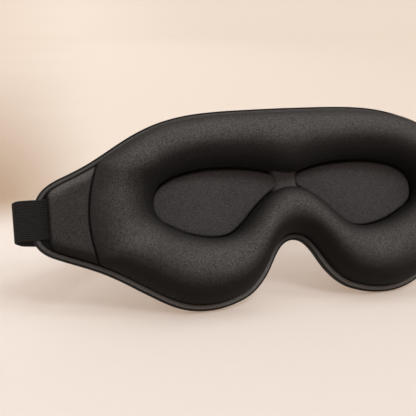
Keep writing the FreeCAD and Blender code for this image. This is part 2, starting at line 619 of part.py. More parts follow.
# ------------------------------------------------------------------ check and write
bad = [o.Label for o in doc.Objects if any(word in o.State for word in ("Invalid", "Error"))]
if bad:
    raise RuntimeError("objects not computed: " + ", ".join(bad))
lo = [1e9] * 3
hi = [-1e9] * 3
for label, obj in nodes.items():
    shp = obj.Shape
    if shp.isNull() or not shp.isValid() or not shp.Solids:
        raise RuntimeError("bad shape: " + label)
    bb = shp.BoundBox
    lo = [min(lo[0], bb.XMin), min(lo[1], bb.YMin), min(lo[2], bb.ZMin)]
    hi = [max(hi[0], bb.XMax), max(hi[1], bb.YMax), max(hi[2], bb.ZMax)]
os.makedirs("parts", exist_ok=True)
for label, obj in nodes.items():
    obj.Shape.exportStep("parts/%s.step" % label)
    print("%-26s solids %d  volume %9.1f" % (label, len(obj.Shape.Solids), obj.Shape.Volume))
print("box", [round(v, 3) for v in lo], [round(v, 3) for v in hi], "centre y %.4f" % ((lo[1] + hi[1]) / 2))
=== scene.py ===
import bpy
import bmesh
import math
import numpy as np
from mathutils import Matrix, Vector
from mathutils.geometry import delaunay_2d_cdt

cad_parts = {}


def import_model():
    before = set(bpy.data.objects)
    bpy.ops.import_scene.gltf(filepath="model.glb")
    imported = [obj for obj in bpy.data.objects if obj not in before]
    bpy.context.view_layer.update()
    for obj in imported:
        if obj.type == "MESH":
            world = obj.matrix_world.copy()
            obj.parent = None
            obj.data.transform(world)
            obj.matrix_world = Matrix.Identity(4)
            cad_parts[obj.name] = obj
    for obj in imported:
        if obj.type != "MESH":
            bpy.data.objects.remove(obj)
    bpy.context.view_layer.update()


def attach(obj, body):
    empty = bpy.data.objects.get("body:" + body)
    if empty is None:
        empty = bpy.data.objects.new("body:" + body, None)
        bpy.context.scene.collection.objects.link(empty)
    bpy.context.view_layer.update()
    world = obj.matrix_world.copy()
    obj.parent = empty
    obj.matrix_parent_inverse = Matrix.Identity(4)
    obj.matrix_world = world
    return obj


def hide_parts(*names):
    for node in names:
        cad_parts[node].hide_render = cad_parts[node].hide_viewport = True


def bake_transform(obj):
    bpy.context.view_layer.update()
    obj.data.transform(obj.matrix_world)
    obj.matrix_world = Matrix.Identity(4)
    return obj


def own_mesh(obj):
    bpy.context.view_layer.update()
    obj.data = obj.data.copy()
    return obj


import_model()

# ---------------------------------------------------------------- the mask's own frame (mm), leaned back in the row frame
LEAN = math.radians(22.3)
CT, ST = math.cos(LEAN), math.sin(LEAN)
SHIFT_BACK, SHIFT_UP = -46.3802, 0.71


def world(P):
    """Points in the mask's own frame, mm, to the row frame, metres."""
    P = np.asarray(P, float)
    out = np.empty_like(P)
    out[:, 0] = P[:, 0]
    out[:, 1] = P[:, 1] * CT + P[:, 2] * ST + SHIFT_BACK
    out[:, 2] = -P[:, 1] * ST + P[:, 2] * CT + SHIFT_UP
    return out / 1000.0


def world_point(x, y, z):
    return Vector(world(np.array([[x, y, z]], float))[0])


# ---------------------------------------------------------------- outlines, as in the design
FLANGE_HALF = [
    (0, 94.5), (-8, 94.45), (-16, 94.35), (-24, 94.25), (-32, 94.0), (-40, 93.5), (-48, 92.6), (-56, 91.0),
    (-64, 88.6), (-72, 85.2), (-80, 80.9), (-88, 76.1), (-96, 71.6), (-104, 67.9), (-110, 65.4), (-114.8, 62.7),
    (-117.9, 59.7), (-120.2, 55.4), (-121.8, 50.4), (-122.4, 45.4), (-122.2, 41.0), (-121.0, 36.9), (-118.8, 33.8),
    (-115.6, 31.4), (-111, 29.3), (-105, 26.9), (-98, 24.1), (-91, 20.9), (-84, 17.0), (-77, 12.6), (-70, 8.3),
    (-63.5, 4.5), (-58, 2.1), (-52.5, 0.6), (-47, 0.0), (-41.5, 0.1), (-36, 0.9), (-30.8, 2.3), (-26.2, 4.0),
    (-22, 6.5), (-18.2, 9.9), (-15, 13.6), (-12.2, 17.9), (-9.7, 22.2), (-7.2, 25.7), (-4.2, 28.4), (0, 29.5),
]
GOGGLE_HALF = [
    (0, 62.4), (-5.2, 63.3), (-10, 64.8), (-16.5, 66.3), (-23.3, 67.2), (-30, 67.6), (-36.7, 67.7), (-43.3, 67.3),
    (-50, 66.2), (-56.6, 64.5), (-61.6, 62.2), (-65.4, 59.2), (-67.6, 55.2), (-68.2, 50.5), (-67.2, 45.6),
    (-64.3, 42.0), (-59.4, 38.9), (-53.2, 35.7), (-46.9, 33.6), (-40.3, 32.5), (-33.8, 32.6), (-29.4, 34.0),
    (-25.6, 36.6), (-22.0, 40.0), (-18.4, 43.8), (-14.7, 47.4), (-10.6, 50.5), (-5.6, 53.1), (0, 54.1),
]
PAD_LEFT = [
    (-66.7, 50.5), (-66.0, 55.0), (-63.9, 58.4), (-60.4, 60.9), (-55.9, 63.0), (-49.8, 64.6), (-43.3, 65.6),
    (-36.7, 66.0), (-30.0, 65.9), (-23.3, 65.5), (-16.8, 64.6), (-10.6, 63.2), (-6.6, 61.9), (-5.0, 60.0),
    (-5.0, 57.4), (-6.6, 55.2), (-10.9, 52.1), (-15.2, 48.7), (-19.2, 44.8), (-23.0, 40.8), (-26.8, 37.4),
    (-30.6, 35.1), (-34.6, 34.1), (-40.3, 34.0), (-46.6, 35.2), (-52.9, 37.3), (-59.0, 40.4), (-63.4, 43.1),
    (-65.8, 46.2),
]


def closed_half(half):
    return list(half) + [(-x, z) for x, z in reversed(half[1:-1])]


def dense(points, per=14):
    """Smooth closed loop (centripetal Catmull-Rom) through unevenly spaced points."""
    P = np.array(points, float)
    n = len(P)
    out = []
    for i in range(n):
        p0, p1, p2, p3 = P[i - 1], P[i], P[(i + 1) % n], P[(i + 2) % n]
        t1 = max(1e-6, np.linalg.norm(p1 - p0)) ** 0.5
        t2 = t1 + max(1e-6, np.linalg.norm(p2 - p1)) ** 0.5
        t3 = t2 + max(1e-6, np.linalg.norm(p3 - p2)) ** 0.5
        for j in range(per):
            t = t1 + (t2 - t1) * j / per
            a1 = (t1 - t) / t1 * p0 + t / t1 * p1
            a2 = (t2 - t) / (t2 - t1) * p1 + (t - t1) / (t2 - t1) * p2
            a3 = (t3 - t) / (t3 - t2) * p2 + (t - t2) / (t3 - t2) * p3
            b1 = (t2 - t) / t2 * a1 + t / t2 * a2
            b2 = (t3 - t) / (t3 - t1) * a2 + (t - t1) / (t3 - t1) * a3
            out.append((t2 - t) / (t2 - t1) * b1 + (t - t1) / (t2 - t1) * b2)
    return np.array(out)


def even(P, count):
    P = np.asarray(P, float)
    Q = np.vstack([P, P[:1]])
    s = np.concatenate([[0.0], np.cumsum(np.linalg.norm(np.diff(Q, axis=0), axis=1))])
    w = np.linspace(0, s[-1], count, endpoint=False)
    return np.stack([np.interp(w, s, Q[:, 0]), np.interp(w, s, Q[:, 1])], 1)


def area(P):
    Q = np.roll(P, -1, axis=0)
    return 0.5 * float(np.sum(P[:, 0] * Q[:, 1] - Q[:, 0] * P[:, 1]))


def smooth_loop(P, times):
    for _ in range(times):
        P = (np.roll(P, 1, axis=0) + 2 * P + np.roll(P, -1, axis=0)) / 4
    return P


def normals_of(P, reach=2):
    t = np.roll(P, -reach, axis=0) - np.roll(P, reach, axis=0)
    t /= np.linalg.norm(t, axis=1)[:, None]
    turn = 1.0 if area(P) > 0 else -1.0
    return turn * np.stack([t[:, 1], -t[:, 0]], 1)


def grown(P, d, count=None):
    """Loop moved outwards by d, point for point, or resampled when count is given."""
    R = even(P, 720) if count else np.asarray(P, float)
    out = R + normals_of(R) * d
    return even(out, count) if count else out


FLANGE = smooth_loop(even(dense(closed_half(FLANGE_HALF)), 640), 6)
GOGGLE = smooth_loop(even(dense(closed_half(GOGGLE_HALF)), 480), 6)
PAD_L = smooth_loop(even(dense(PAD_LEFT), 300), 6)
PAD_R = PAD_L[::-1] * np.array([-1.0, 1.0])


def sstep(t):
    t = np.clip(t, 0, 1)
    return t * t * t * (t * (6 * t - 15) + 10)


def seam_x(z):
    return -96.8 + 0.0085 * (z - 45.0) ** 2


def inner_edge(extra, count):
    """Inner edge of the bare flange: 3.3 mm in, nearer the edge along the upper slants."""
    R = even(FLANGE, 720)
    gap = 3.3 - 0.5 * sstep((R[:, 1] - 52.0) / 12.0) * sstep((np.abs(R[:, 0]) - 45.0) / 20.0)
    return even(R - normals_of(R) * (gap + extra)[:, None], count)


def cushion_outline(count):
    P = inner_edge(0.0, 900)
    s = np.where(P[:, 0] < 0, -1.0, 1.0)
    lim = -seam_x(P[:, 1])
    P[:, 0] = s * np.minimum(np.abs(P[:, 0]), lim)
    P = smooth_loop(even(P, 900), 14)
    return even(P, count)


def panel_outline(count):
    left = -114.9
    P = inner_edge(0.0, 900)
    keep = P[(P[:, 0] < 0) & (P[:, 0] < seam_x(P[:, 1]) - 0.3)]
    top = keep[(keep[:, 1] > 48) & (keep[:, 0] > left + 1.4)]
    low = keep[(keep[:, 1] <= 48) & (keep[:, 0] > left + 1.4)]
    top = top[np.argsort(top[:, 0])]
    low = low[np.argsort(-low[:, 0])]
    z1, z0 = top[-1, 1], low[0, 1]
    zs = z1 + (z0 - z1) * np.arange(1, 24) / 24.0
    seam = np.stack([seam_x(zs) - 0.3, zs], 1)
    ze = 38.4 + (57.6 - 38.4) * np.arange(0, 13) / 12.0
    edge = np.stack([left + 0.0 * ze, ze], 1)
    loop = even(np.vstack([edge, top, seam, low]), 600)
    return even(smooth_loop(loop, 8), count)


CUSHION = cushion_outline(720)
PANEL_L = panel_outline(260)
PANEL_R = PANEL_L[::-1] * np.array([-1.0, 1.0])


# ---------------------------------------------------------------- plane geometry helpers
def edge_distance(P, loop):
    """Distance from each point to a closed loop, positive inside."""
    A = loop
    B = np.roll(loop, -1, axis=0)
    AB = B - A
    L2 = np.maximum(1e-12, np.sum(AB * AB, 1))
    out = np.empty(len(P))
    for i in range(0, len(P), 1500):
        Q = P[i:i + 1500]
        AP = Q[:, None, :] - A[None]
        t = np.clip(np.sum(AP * AB[None], 2) / L2[None], 0, 1)
        D = AP - t[..., None] * AB[None]
        d = np.sqrt(np.min(np.sum(D * D, 2), 1))
        yi = (A[None, :, 1] > Q[:, None, 1]) != (B[None, :, 1] > Q[:, None, 1])
        with np.errstate(divide="ignore", invalid="ignore"):
            xc = A[None, :, 0] + (Q[:, None, 1] - A[None, :, 1]) * AB[None, :, 0] / np.where(AB[None, :, 1] == 0, 1e-12, AB[None, :, 1])
        inside = np.sum(yi & (Q[:, None, 0] < xc), 1) % 2 == 1
        out[i:i + 1500] = np.where(inside, d, -d)
    return out


def tri_fill(outline, loops, spacing, clear, extra=None):
    """Triangles over the inside of outline, with rows of points on the given inner loops and an even field elsewhere."""
    rows = [np.asarray(outline)] + [np.asarray(l) for l in loops]
    lo, hi = outline.min(0), outline.max(0)
    h = spacing * math.sqrt(3) / 2
    gx, gz = [], []
    k = 0
    z = lo[1]
    while z < hi[1]:
        xs = np.arange(lo[0] + (spacing / 2 if k % 2 else 0.0), hi[0], spacing)
        gx.append(xs)
        gz.append(np.full(len(xs), z))
        z += h
        k += 1
    G = np.stack([np.concatenate(gx), np.concatenate(gz)], 1)
    G = G[edge_distance(G, outline) > clear]
    if extra is not None:
        for ex, gap in extra:
            rows.append(np.asarray(ex))
            A = np.asarray(ex)
            keep = np.ones(len(G), bool)
            for i in range(0, len(G), 2000):
                d = np.min(np.sum((G[i:i + 2000, None, :] - A[None]) ** 2, 2), 1)
                keep[i:i + 2000] = d > gap * gap
            G = G[keep]
    P = np.vstack(rows + [G])
    n = len(outline)
    edges = [(i, (i + 1) % n) for i in range(n)]
    v, _, f, ov, _, _ = delaunay_2d_cdt([Vector((float(a), float(b))) for a, b in P], edges, [], 1, 1e-5)
    V2 = np.array([[q.x, q.y] for q in v])
    F = [tuple(t) for t in f if len(t) == 3]
    return V2, F, n


def make(name, verts, faces, smooth=True):
    me = bpy.data.meshes.new(name)
    me.from_pydata([tuple(map(float, p)) for p in verts], [], faces)
    me.validate()
    bm = bmesh.new()
    bm.from_mesh(me)
    bmesh.ops.recalc_face_normals(bm, faces=bm.faces)
    bm.to_mesh(me)
    bm.free()
    if smooth:
        me.polygons.foreach_set("use_smooth", [True] * len(me.polygons))
    ob = bpy.data.objects.new(name, me)
    bpy.context.scene.collection.objects.link(ob)
    return ob


def two_sided(name, outline, loops, spacing, clear, f_face, f_out, extra=None, wall=3):
    """Closed piece between two height fields over one outline. y smaller is nearer the face."""
    V2, F, n = tri_fill(outline, loops, spacing, clear, extra)
    yf, yo = f_face(V2), f_out(V2)
    m = len(V2)
    front = np.stack([V2[:, 0], yf, V2[:, 1]], 1)
    back = np.stack([V2[:, 0], yo, V2[:, 1]], 1)
    # boundary vertices are matched by place, because the triangulation may reorder them
    ring = [int(np.argmin(np.sum((V2 - np.asarray(q)) ** 2, 1))) for q in outline]
    verts = [front, back]
    faces = list(F) + [tuple(m + i for i in reversed(t)) for t in F]
    rows = [ring]
    base = 2 * m
    for w in range(1, wall):
        t = w / wall
        row = front[ring] * (1 - t) + back[ring] * t
        verts.append(row)
        rows.append(list(range(base, base + n)))
        base += n
    rows.append([m + i for i in ring])
    for a, b in zip(rows[:-1], rows[1:]):
        for i in range(n):
            j = (i + 1) % n
            faces.append((a[i], b[i], b[j], a[j]))
    return make(name, world(np.vstack(verts)), faces)


def round_edge(d, r):
    """How far the surface falls at distance d inside an edge rounded with radius r."""
    q = np.clip(r - d, 0, r)
    return r - np.sqrt(np.maximum(0, r * r - q * q))


rng = np.random.RandomState(7)
PH = rng.uniform(0, 6.28, (24,))
DIR = rng.uniform(-1, 1, (24, 2))
DIR /= np.linalg.norm(DIR, axis=1)[:, None]


def undulate(P, wave, amp):
    """Slow, uneven swell, so that foam and cloth are not perfectly even."""
    out = np.zeros(len(P))
    for k in range(10):
        out += np.sin((P[:, 0] * DIR[k, 0] + P[:, 1] * DIR[k, 1]) * 2 * math.pi / (wave * (0.7 + 0.09 * k)) + PH[k])
    return out * amp / 4.0


# ---------------------------------------------------------------- cushion ring
def start_at(loop, point):
    i = int(np.argmin(np.sum((loop - np.array(point)) ** 2, 1)))
    L = np.roll(loop, -i, axis=0)
    if area(L) < 0:
        L = np.roll(L[::-1], 1, axis=0)
    return L


def loop_param(loop, point):
    Q = np.vstack([loop, loop[:1]])
    s = np.concatenate([[0.0], np.cumsum(np.linalg.norm(np.diff(Q, axis=0), axis=1))])
    i = int(np.argmin(np.sum((loop - np.array(point)) ** 2, 1)))
    return s[i] / s[-1]


def loop_at(loop, u):
    Q = np.vstack([loop, loop[:1]])
    s = np.concatenate([[0.0], np.cumsum(np.linalg.norm(np.diff(Q, axis=0), axis=1))])
    w = np.mod(u, 1.0) * s[-1]
    return np.stack([np.interp(w, s, Q[:, 0]), np.interp(w, s, Q[:, 1])], 1)


MARKS = [((-30, 90.9), (-22, 67.1)), ((-60, 86.4), (-46, 67.0)), ((-80, 77.2), (-59.5, 63.2)), ((-92.5, 69.5), (-66.0, 58.6)),
         ((-96.7, 48), (-68.2, 50.5)), ((-95, 29), (-65.6, 43.4)), ((-84, 21), (-60.5, 39.6)), ((-66, 10), (-51.5, 35.0)),
         ((-45, 3.3), (-40.5, 32.5)), ((-30, 5.8), (-33.0, 32.7)), ((-20, 13.0), (-26.2, 36.2)), ((-14.2, 21.5), (-19.6, 42.6)),
         ((-8.6, 29.6), (-11.6, 49.9))]


def ring_lines(count):
    """Matching points on the outer and inner edges of the cushion ring."""
    O = start_at(CUSHION, (0, 91.2))
    I = start_at(GOGGLE, (0, 62.4))
    pairs = [(0.0, 0.0)]
    left = [(loop_param(O, a), loop_param(I, b)) for a, b in MARKS]
    right = [(1 - a, 1 - b) for a, b in left]
    half = [(loop_param(O, (0, 32.8)), loop_param(I, (0, 54.1)))]
    pairs += sorted(left + half + right)
    pairs.append((1.0, 1.0))
    # even spacing along the middle line
    a = np.array([p[0] for p in pairs])
    b = np.array([p[1] for p in pairs])
    u = np.linspace(0, 1, 2400, endpoint=False)
    v = np.interp(u, a, b)
    dv = v - u
    ker = np.hanning(141)
    ker /= ker.sum()
    dv = np.convolve(np.concatenate([dv[-200:], dv, dv[:200]]), ker, "same")[200:-200]
    Po, Pi = loop_at(O, u), loop_at(I, u + dv)
    mid = (Po + Pi) / 2
    s = np.concatenate([[0.0], np.cumsum(np.linalg.norm(np.diff(np.vstack([mid, mid[:1]]), axis=0), axis=1))])
    w = np.linspace(0, s[-1], count, endpoint=False)
    uu = np.interp(w, s, np.concatenate([u, [1.0]]))
    dd = np.interp(uu, np.concatenate([u, [1.0]]), np.concatenate([dv, dv[:1]]))
    return loop_at(O, uu), loop_at(I, uu + dd)


def ring_piece(name, inset, count=560, across=64, high=15.4, base_y=-0.9):
    Po, Pi = ring_lines(count)
    d = Pi - Po
    w = np.linalg.norm(d, axis=1)
    ker = np.hanning(31)
    ker /= ker.sum()
    ws = np.convolve(np.concatenate([w[-40:], w, w[:40]]), ker, "same")[40:-40]
    d /= w[:, None]
    mid = (Po + Pi) / 2
    half = w / 2 - inset
    # 1 where the ring starts at a side panel's seam, 0 along the free flange
    at_seam = np.clip(1.0 - (-seam_x(Po[:, 1]) - np.abs(Po[:, 0])) / 1.2, 0, 1)
    ker = np.hanning(35)
    ker /= ker.sum()
    at_seam = np.convolve(np.concatenate([at_seam[-40:], at_seam, at_seam[:40]]), ker, "same")[40:-40]
    tall = (high - inset) * np.clip(ws / 27.5, 0.3, 1.04) ** 0.45
    tall = np.minimum(tall, high - inset) * (1.0 - 0.18 * at_seam)
    # the ring hangs over the pads at the brow only; on the slanting sides it lies closer to the flange's edge
    brow = np.clip(-d[:, 1], 0, 1) ** 1.3
    slant = sstep((np.abs(Po[:, 0]) - 52.0) / 12.0) * sstep((99.0 - np.abs(Po[:, 0])) / 4.0) * (1 - at_seam)
    ker = np.hanning(25)
    ker /= ker.sum()
    brow, slant = (np.convolve(np.concatenate([q[-40:], q, q[:40]]), ker, "same")[40:-40] for q in (brow, slant))
    verts = []
    for k in range(across):
        f = math.pi * k / (across - 1)
        c, s_ = math.cos(f), math.sin(f)
        a = -math.copysign(abs(c) ** (2 / 2.12), c)
        h = abs(s_) ** (2 / 2.08)
        aa, hh = np.full(count, a), np.full(count, h)
        if f < math.pi / 2:
            # beside the panel the ring rises from the panel's own height, and less steeply
            q = f / (math.pi / 2)
            r = np.clip((q - 0.22) / 0.78, 0, 1)
            h0 = 0.40
            a2 = -1.0 + r
            h2 = h0 * min(1.0, q / 0.22) + (1 - h0) * (1 - (1 - r) ** 1.55)
            aa = aa * (1 - at_seam) + a2 * at_seam
            hh = hh * (1 - at_seam) + h2 * at_seam
        bump = np.sin(math.pi * np.clip(hh / 0.92, 0, 1))
        off = aa * half
        if f < math.pi / 2:
            off = off - ((0.15 + 0.75 * brow) * bump - 0.35 * (1 - np.clip(hh / 0.15, 0, 1))) * (1 - at_seam) - 0.4 * slant * np.abs(aa)
        else:
            off = off + (0.25 + 1.55 * brow) * bump + 1.0 * (1 - brow) * np.abs(aa) ** 3
        x = mid + d * off[:, None]
        y = base_y + (0.0 if inset == 0 else -0.05) - hh * tall
        un = undulate(x, 26.0, 0.16) * hh
        verts.append(np.stack([x[:, 0], y - un, x[:, 1]], 1))
    # the foot goes on down beside the pads
    last = verts[-1].copy()
    last[:, 1] += (1.45 - 0.3 * brow) if inset == 0 else 0.3
    verts.append(last)
    across += 1
    V3 = np.vstack(verts)
    n = count
    faces = []
    for k in range(across - 1):
        for i in range(n):
            j = (i + 1) % n
            faces.append((k * n + i, k * n + j, (k + 1) * n + j, (k + 1) * n + i))
    # flat underside
    for i in range(n):
        j = (i + 1) % n
        faces.append(((across - 1) * n + i, (across - 1) * n + j, j, i))
    return make(name, world(V3), faces)


cushion = ring_piece("cushion_cover_soft", 0.0)
cushion_core = ring_piece("cushion_foam_soft", 0.9, count=220, across=26)

# ---------------------------------------------------------------- base lining: flange layer, eye dish, bridge between the pads
LIN = grown(FLANGE, -0.85)


def lining_face(P):
    d = edge_distance(P, LIN)
    g = edge_distance(P, GOGGLE)
    y = -0.9 + round_edge(d, 0.45)
    # slight pillow where the layer is pressed along the cushion's foot
    y = y - 0.12 * np.exp(-((d - 1.1) / 0.7) ** 2) + 0.6 * np.exp(-((d - 2.3) / 0.38) ** 2)
    floor = 4.4 - 3.9 * np.exp(-(P[:, 0] / 7.2) ** 6)
    t = sstep((g + 1.0) / 1.2)
    return y * (1 - t) + floor * t


def lining_out(P):
    d = edge_distance(P, LIN)
    g = edge_distance(P, GOGGLE)
    y = 0.0 - round_edge(d, 0.45) * 0.9
    floor = 5.2 - 3.9 * np.exp(-(P[:, 0] / 7.2) ** 6)
    t = sstep((g + 1.7) / 1.2)
    return np.maximum(lining_face(P) + 0.05, y * (1 - t) + floor * t)


lin_out = even(LIN, 420)
lining = two_sided("base_lining_soft", lin_out, [grown(lin_out, -q) for q in (0.12, 0.28, 0.5, 0.9, 1.35, 1.75, 2.0, 2.25, 2.5, 2.8, 3.4)], 2.6, 4.6,
                   lining_face, lining_out,
                   extra=[(even(grown(GOGGLE, q, 720), 300), 0.8) for q in (-0.4, 0.2, 0.8, 1.4)] + [(even(GOGGLE, 300), 0.8)])


# ---------------------------------------------------------------- outer shell and outer cover
def outside_form(P):
    """Outside surface of the cover: flat flange, raised form round both eyes, one dome per eye."""
    g = -edge_distance(P, GOGGLE)
    y = 3.2 + 5.5 * sstep((11.6 - g) / 10.0)
    for s in (-1, 1):
        tilt = math.radians(-6.0 * s)
        dx, dz = P[:, 0] - s * 38.0, P[:, 1] - 50.8
        a = dx * math.cos(tilt) + dz * math.sin(tilt)
        b = -dx * math.sin(tilt) + dz * math.cos(tilt)
        e = (a / 34.0) ** 2 + (b / 18.0) ** 2
        y = y + 2.6 * sstep(1.0 - e * 0.92) ** 0.9
    # the notch in the raised form over the nose
    y = y - 1.3 * np.exp(-(P[:, 0] / 9.0) ** 2) * sstep((11.6 - g) / 10.0)
    return y


def cover_out(P):
    d = edge_distance(P, FLANGE)
    y = outside_form(P) - round_edge(d, 1.5)
    # pressed line all round, where the layers are bonded
    return y - 0.32 * np.exp(-((d - 3.7) / 0.55) ** 2) + undulate(P, 30.0, 0.08) * sstep(d / 12.0)


def cover_face(P):
    d = edge_distance(P, FLANGE)
    inner = outside_form(P) - 0.75
    rim = 0.30 - 1.0 * np.sqrt(np.clip(1 - ((d - 0.40) / 0.44) ** 2, 0, 1)) + 1.1 * np.clip(0.15 - d, 0, 0.15)
    t = sstep((d - 3.0) / 0.8)
    return np.minimum(cover_out(P) - 0.05, rim * (1 - t) + inner * t)


fl = even(FLANGE, 460)
outer_cover = two_sided("outer_cover_soft", fl, [grown(fl, -q) for q in (0.1, 0.28, 0.5, 0.75, 1.0, 1.2, 1.35, 1.7, 2.3, 2.9, 3.3, 3.7, 4.1, 4.7)], 2.0, 5.6,
                        cover_face, cover_out)

sh = grown(even(FLANGE, 240), -3.9)


def shell_face(P):
    g = edge_distance(P, GOGGLE)
    return np.minimum(0.06 + 5.3 * sstep((g + 2.6) / 1.0), outside_form(P) - 1.9)


def shell_out(P):
    return outside_form(P) - 0.82


outer_shell = two_sided("outer_shell_soft", sh, [], 3.2, 1.6, shell_face, shell_out,
                        extra=[(even(grown(GOGGLE, q, 720), 200), 1.0) for q in (1.6, 2.2, 2.8)])


# ---------------------------------------------------------------- eye pads
def eye_pad(name, loop, inset, core):
    L = grown(loop, -inset) if inset else loop
    out = even(L, 220)

    def face(P):
        d = edge_distance(P, L)
        crown = 0.55 * sstep(d / 12.0)
        y = 0.45 + (0.8 if core else 0.0) - crown + round_edge(d, 1.35) * 1.0
        return y + undulate(P, 21.0, 0.07) * sstep(d / 5.0)

    def back(P):
        return np.full(len(P), 4.3 if not core else 4.2) - round_edge(edge_distance(P, L), 0.8) * 0.5

    loops = [grown(out, -q) for q in ((0.1, 0.25, 0.45, 0.75, 1.1, 1.6, 2.3) if not core else (0.6, 1.4))]
    return two_sided(name, out, loops, 1.9, 3.2 if not core else 2.2, face, back, wall=3)


pads = {}
for side, loop in (("left", PAD_L), ("right", PAD_R)):
    pads[side] = (eye_pad("eye_pad_cover_soft_" + side, loop, 0.0, False), eye_pad("eye_pad_foam_soft_" + side, loop, 0.75, True))


def local_of(ob):
    """Vertex places in the mask's own frame, millimetres: across, depth, up the mask."""
    n = len(ob.data.vertices)
    co = np.empty(n * 3)
    ob.data.vertices.foreach_get("co", co)
    co = co.reshape(-1, 3) * 1000.0
    o = world_point(0, 0, 0)
    o = np.array([float(q) for q in o]).reshape(3)
    k = 1000.0 if abs(o).max() < 1.0 else 1.0
    D = co - o * k
    c, q = math.cos(LEAN), math.sin(LEAN)
    return np.stack([D[:, 0], D[:, 1] * c - D[:, 2] * q, D[:, 1] * q + D[:, 2] * c], 1)


def store_painted_shade(ob, amount):
    """Store the painted shade amount per vertex (0 none, 1 full): the colour is darkened there as if in shade."""
    at = ob.data.attributes.new("painted_shade_amount", "FLOAT", "POINT")
    at.data.foreach_set("value", np.clip(amount, 0, 1).astype(np.float32))


# painted shade on the lining: dark in the groove at the cushion's foot and under the cushion, darker towards the top of
# the flange, and darker in the eye dish round the pads, less on the bridge
_q = local_of(lining)
_d = edge_distance(_q[:, [0, 2]], LIN)
_g = edge_distance(_q[:, [0, 2]], GOGGLE)
_inside = sstep((_g + 2.4) / 1.2)
_e = edge_distance(_q[:, [0, 2]], inner_edge(0.0, 900))
_flange = np.maximum(1.0 * np.exp(-((_e + 0.05) / 0.5) ** 2), np.where(_e > -0.05, 0.9, 0.0)) + 0.52 * sstep((_q[:, 2] - 14.0) / 16.0)
_dish = 0.42 + 0.5 * sstep((np.abs(_q[:, 0]) - 5.0) / 2.5)
store_painted_shade(lining, _flange * (1 - _inside) + _dish * _inside)


# ---------------------------------------------------------------- side panels
def side_panel(name, loop, inset, core, s):
    L = grown(loop, -inset) if inset else loop
    out = even(L, 300)
    edge = inner_edge(inset, 900)

    def face(P):
        d = edge_distance(P, L)
        df = np.maximum(0.0, np.minimum(edge_distance(P, edge), 30.0))
        x = np.abs(P[:, 0])
        # thin at the tab's end, thicker towards the cushion
        high = 4.3 + 1.1 * sstep((114.9 - x) / 17.0)
        q = np.clip(df / 5.0, 0, 1)
        low = 0.22 if not core else 0.3
        pillow = high * (low + (1 - low) * np.sqrt(np.maximum(0, 1 - (1 - q) ** 2.2)))
        # the folded end at the strap's slot is a short steep wall
        pillow = 0.3 + (pillow - 0.3) * np.clip((114.9 - x) / 0.9, 0, 1) ** 0.8
        fall = round_edge(d, 0.55)
        return -0.9 - np.maximum(0.25, (pillow - (0.6 if core else 0.0)) - fall) + undulate(P, 14.0, 0.06) * sstep(d / 3.0)

    def back(P):
        x = np.abs(P[:, 0])
        zz = P[:, 1]
        # room for the strap's sewn end under the panel
        t = sstep((x - 101.2) / 0.8) * sstep((zz - 38.2) / 0.6) * sstep((57.8 - zz) / 0.6)
        return np.maximum(-0.92 - 1.45 * t, face(P) + 0.08)

    loops = [grown(out, -q) for q in ((0.1, 0.25, 0.45, 0.75, 1.2, 1.9, 2.8, 3.9) if not core else (0.8, 2.0))]
    return two_sided(name, out, loops, 1.5, 4.8 if not core else 3.0, face, back, wall=3)


panels = {}
for side, loop, s in (("left", PANEL_L, -1), ("right", PANEL_R, 1)):
    panels[side] = (side_panel("side_panel_cover_soft_" + side, loop, 0.0, False, s), side_panel("side_panel_foam_soft_" + side, loop, 0.8, True, s))


# painted shade on the side panels: dark along the panel's edge and at its end by the strap's slot
for _side in panels:
    _q = local_of(panels[_side][0])
    _d = edge_distance(_q[:, [0, 2]], PANEL_L if _side == "left" else PANEL_R)
    store_painted_shade(panels[_side][0], 0.9 * np.exp(-(_d / 0.5) ** 2) + 1.0 * (1 - sstep((114.9 - np.abs(_q[:, 0]) - 0.35) / 0.6)))


# ---------------------------------------------------------------- straps: ribbed elastic along runs and tangent arcs
def rounded_path(points, radii):
    segs = []
    P = [np.array(p, float) for p in points]
    cur = P[0]
    for i in range(1, len(P) - 1):
        d0, d1 = P[i] - P[i - 1], P[i + 1] - P[i]
        d0 = d0 / np.linalg.norm(d0)
        d1 = d1 / np.linalg.norm(d1)
        turn = math.atan2(d0[0] * d1[1] - d0[1] * d1[0], float(d0 @ d1))
        r = radii[i - 1]
        tl = r * math.tan(abs(turn) / 2)
        a = P[i] - d0 * tl
        if np.linalg.norm(a - cur) > 1e-4:
            segs.append(("L", cur, a))
        sgn = 1.0 if turn > 0 else -1.0
        centre = a + np.array([-d0[1], d0[0]]) * sgn * r
        segs.append(("A", centre, r, math.atan2(*(a - centre)[::-1]), turn))
        cur = P[i] + d1 * tl
    if np.linalg.norm(P[-1] - cur) > 1e-4:
        segs.append(("L", cur, P[-1]))
    return segs


def sample_path(segs, step):
    pts, tan = [], []
    for sg in segs:
        if sg[0] == "L":
            ln = np.linalg.norm(sg[2] - sg[1])
            n = max(1, int(math.ceil(ln / step)))
            d = (sg[2] - sg[1]) / ln
            for i in range(n):
                pts.append(sg[1] + (sg[2] - sg[1]) * i / n)
                tan.append(d)
        else:
            _, c, r, a0, turn = sg
            n = max(4, int(math.ceil(abs(turn) / math.radians(9 if r < 5 else 3))))
            for i in range(n):
                f = a0 + turn * i / n
                pts.append(c + r * np.array([math.cos(f), math.sin(f)]))
                g = f + (math.pi / 2 if turn > 0 else -math.pi / 2)
                tan.append(np.array([math.cos(g), math.sin(g)]))
    last = segs[-1]
    if last[0] == "L":
        pts.append(last[2])
    else:
        f = last[3] + last[4]
        pts.append(last[1] + last[2] * np.array([math.cos(f), math.sin(f)]))
    tan.append(tan[-1])
    return np.array(pts), np.array(tan)


STRAP_LOW, STRAP_WIDE, STRAP_THICK = 39.0, 18.0, 1.2
RIBS = 19


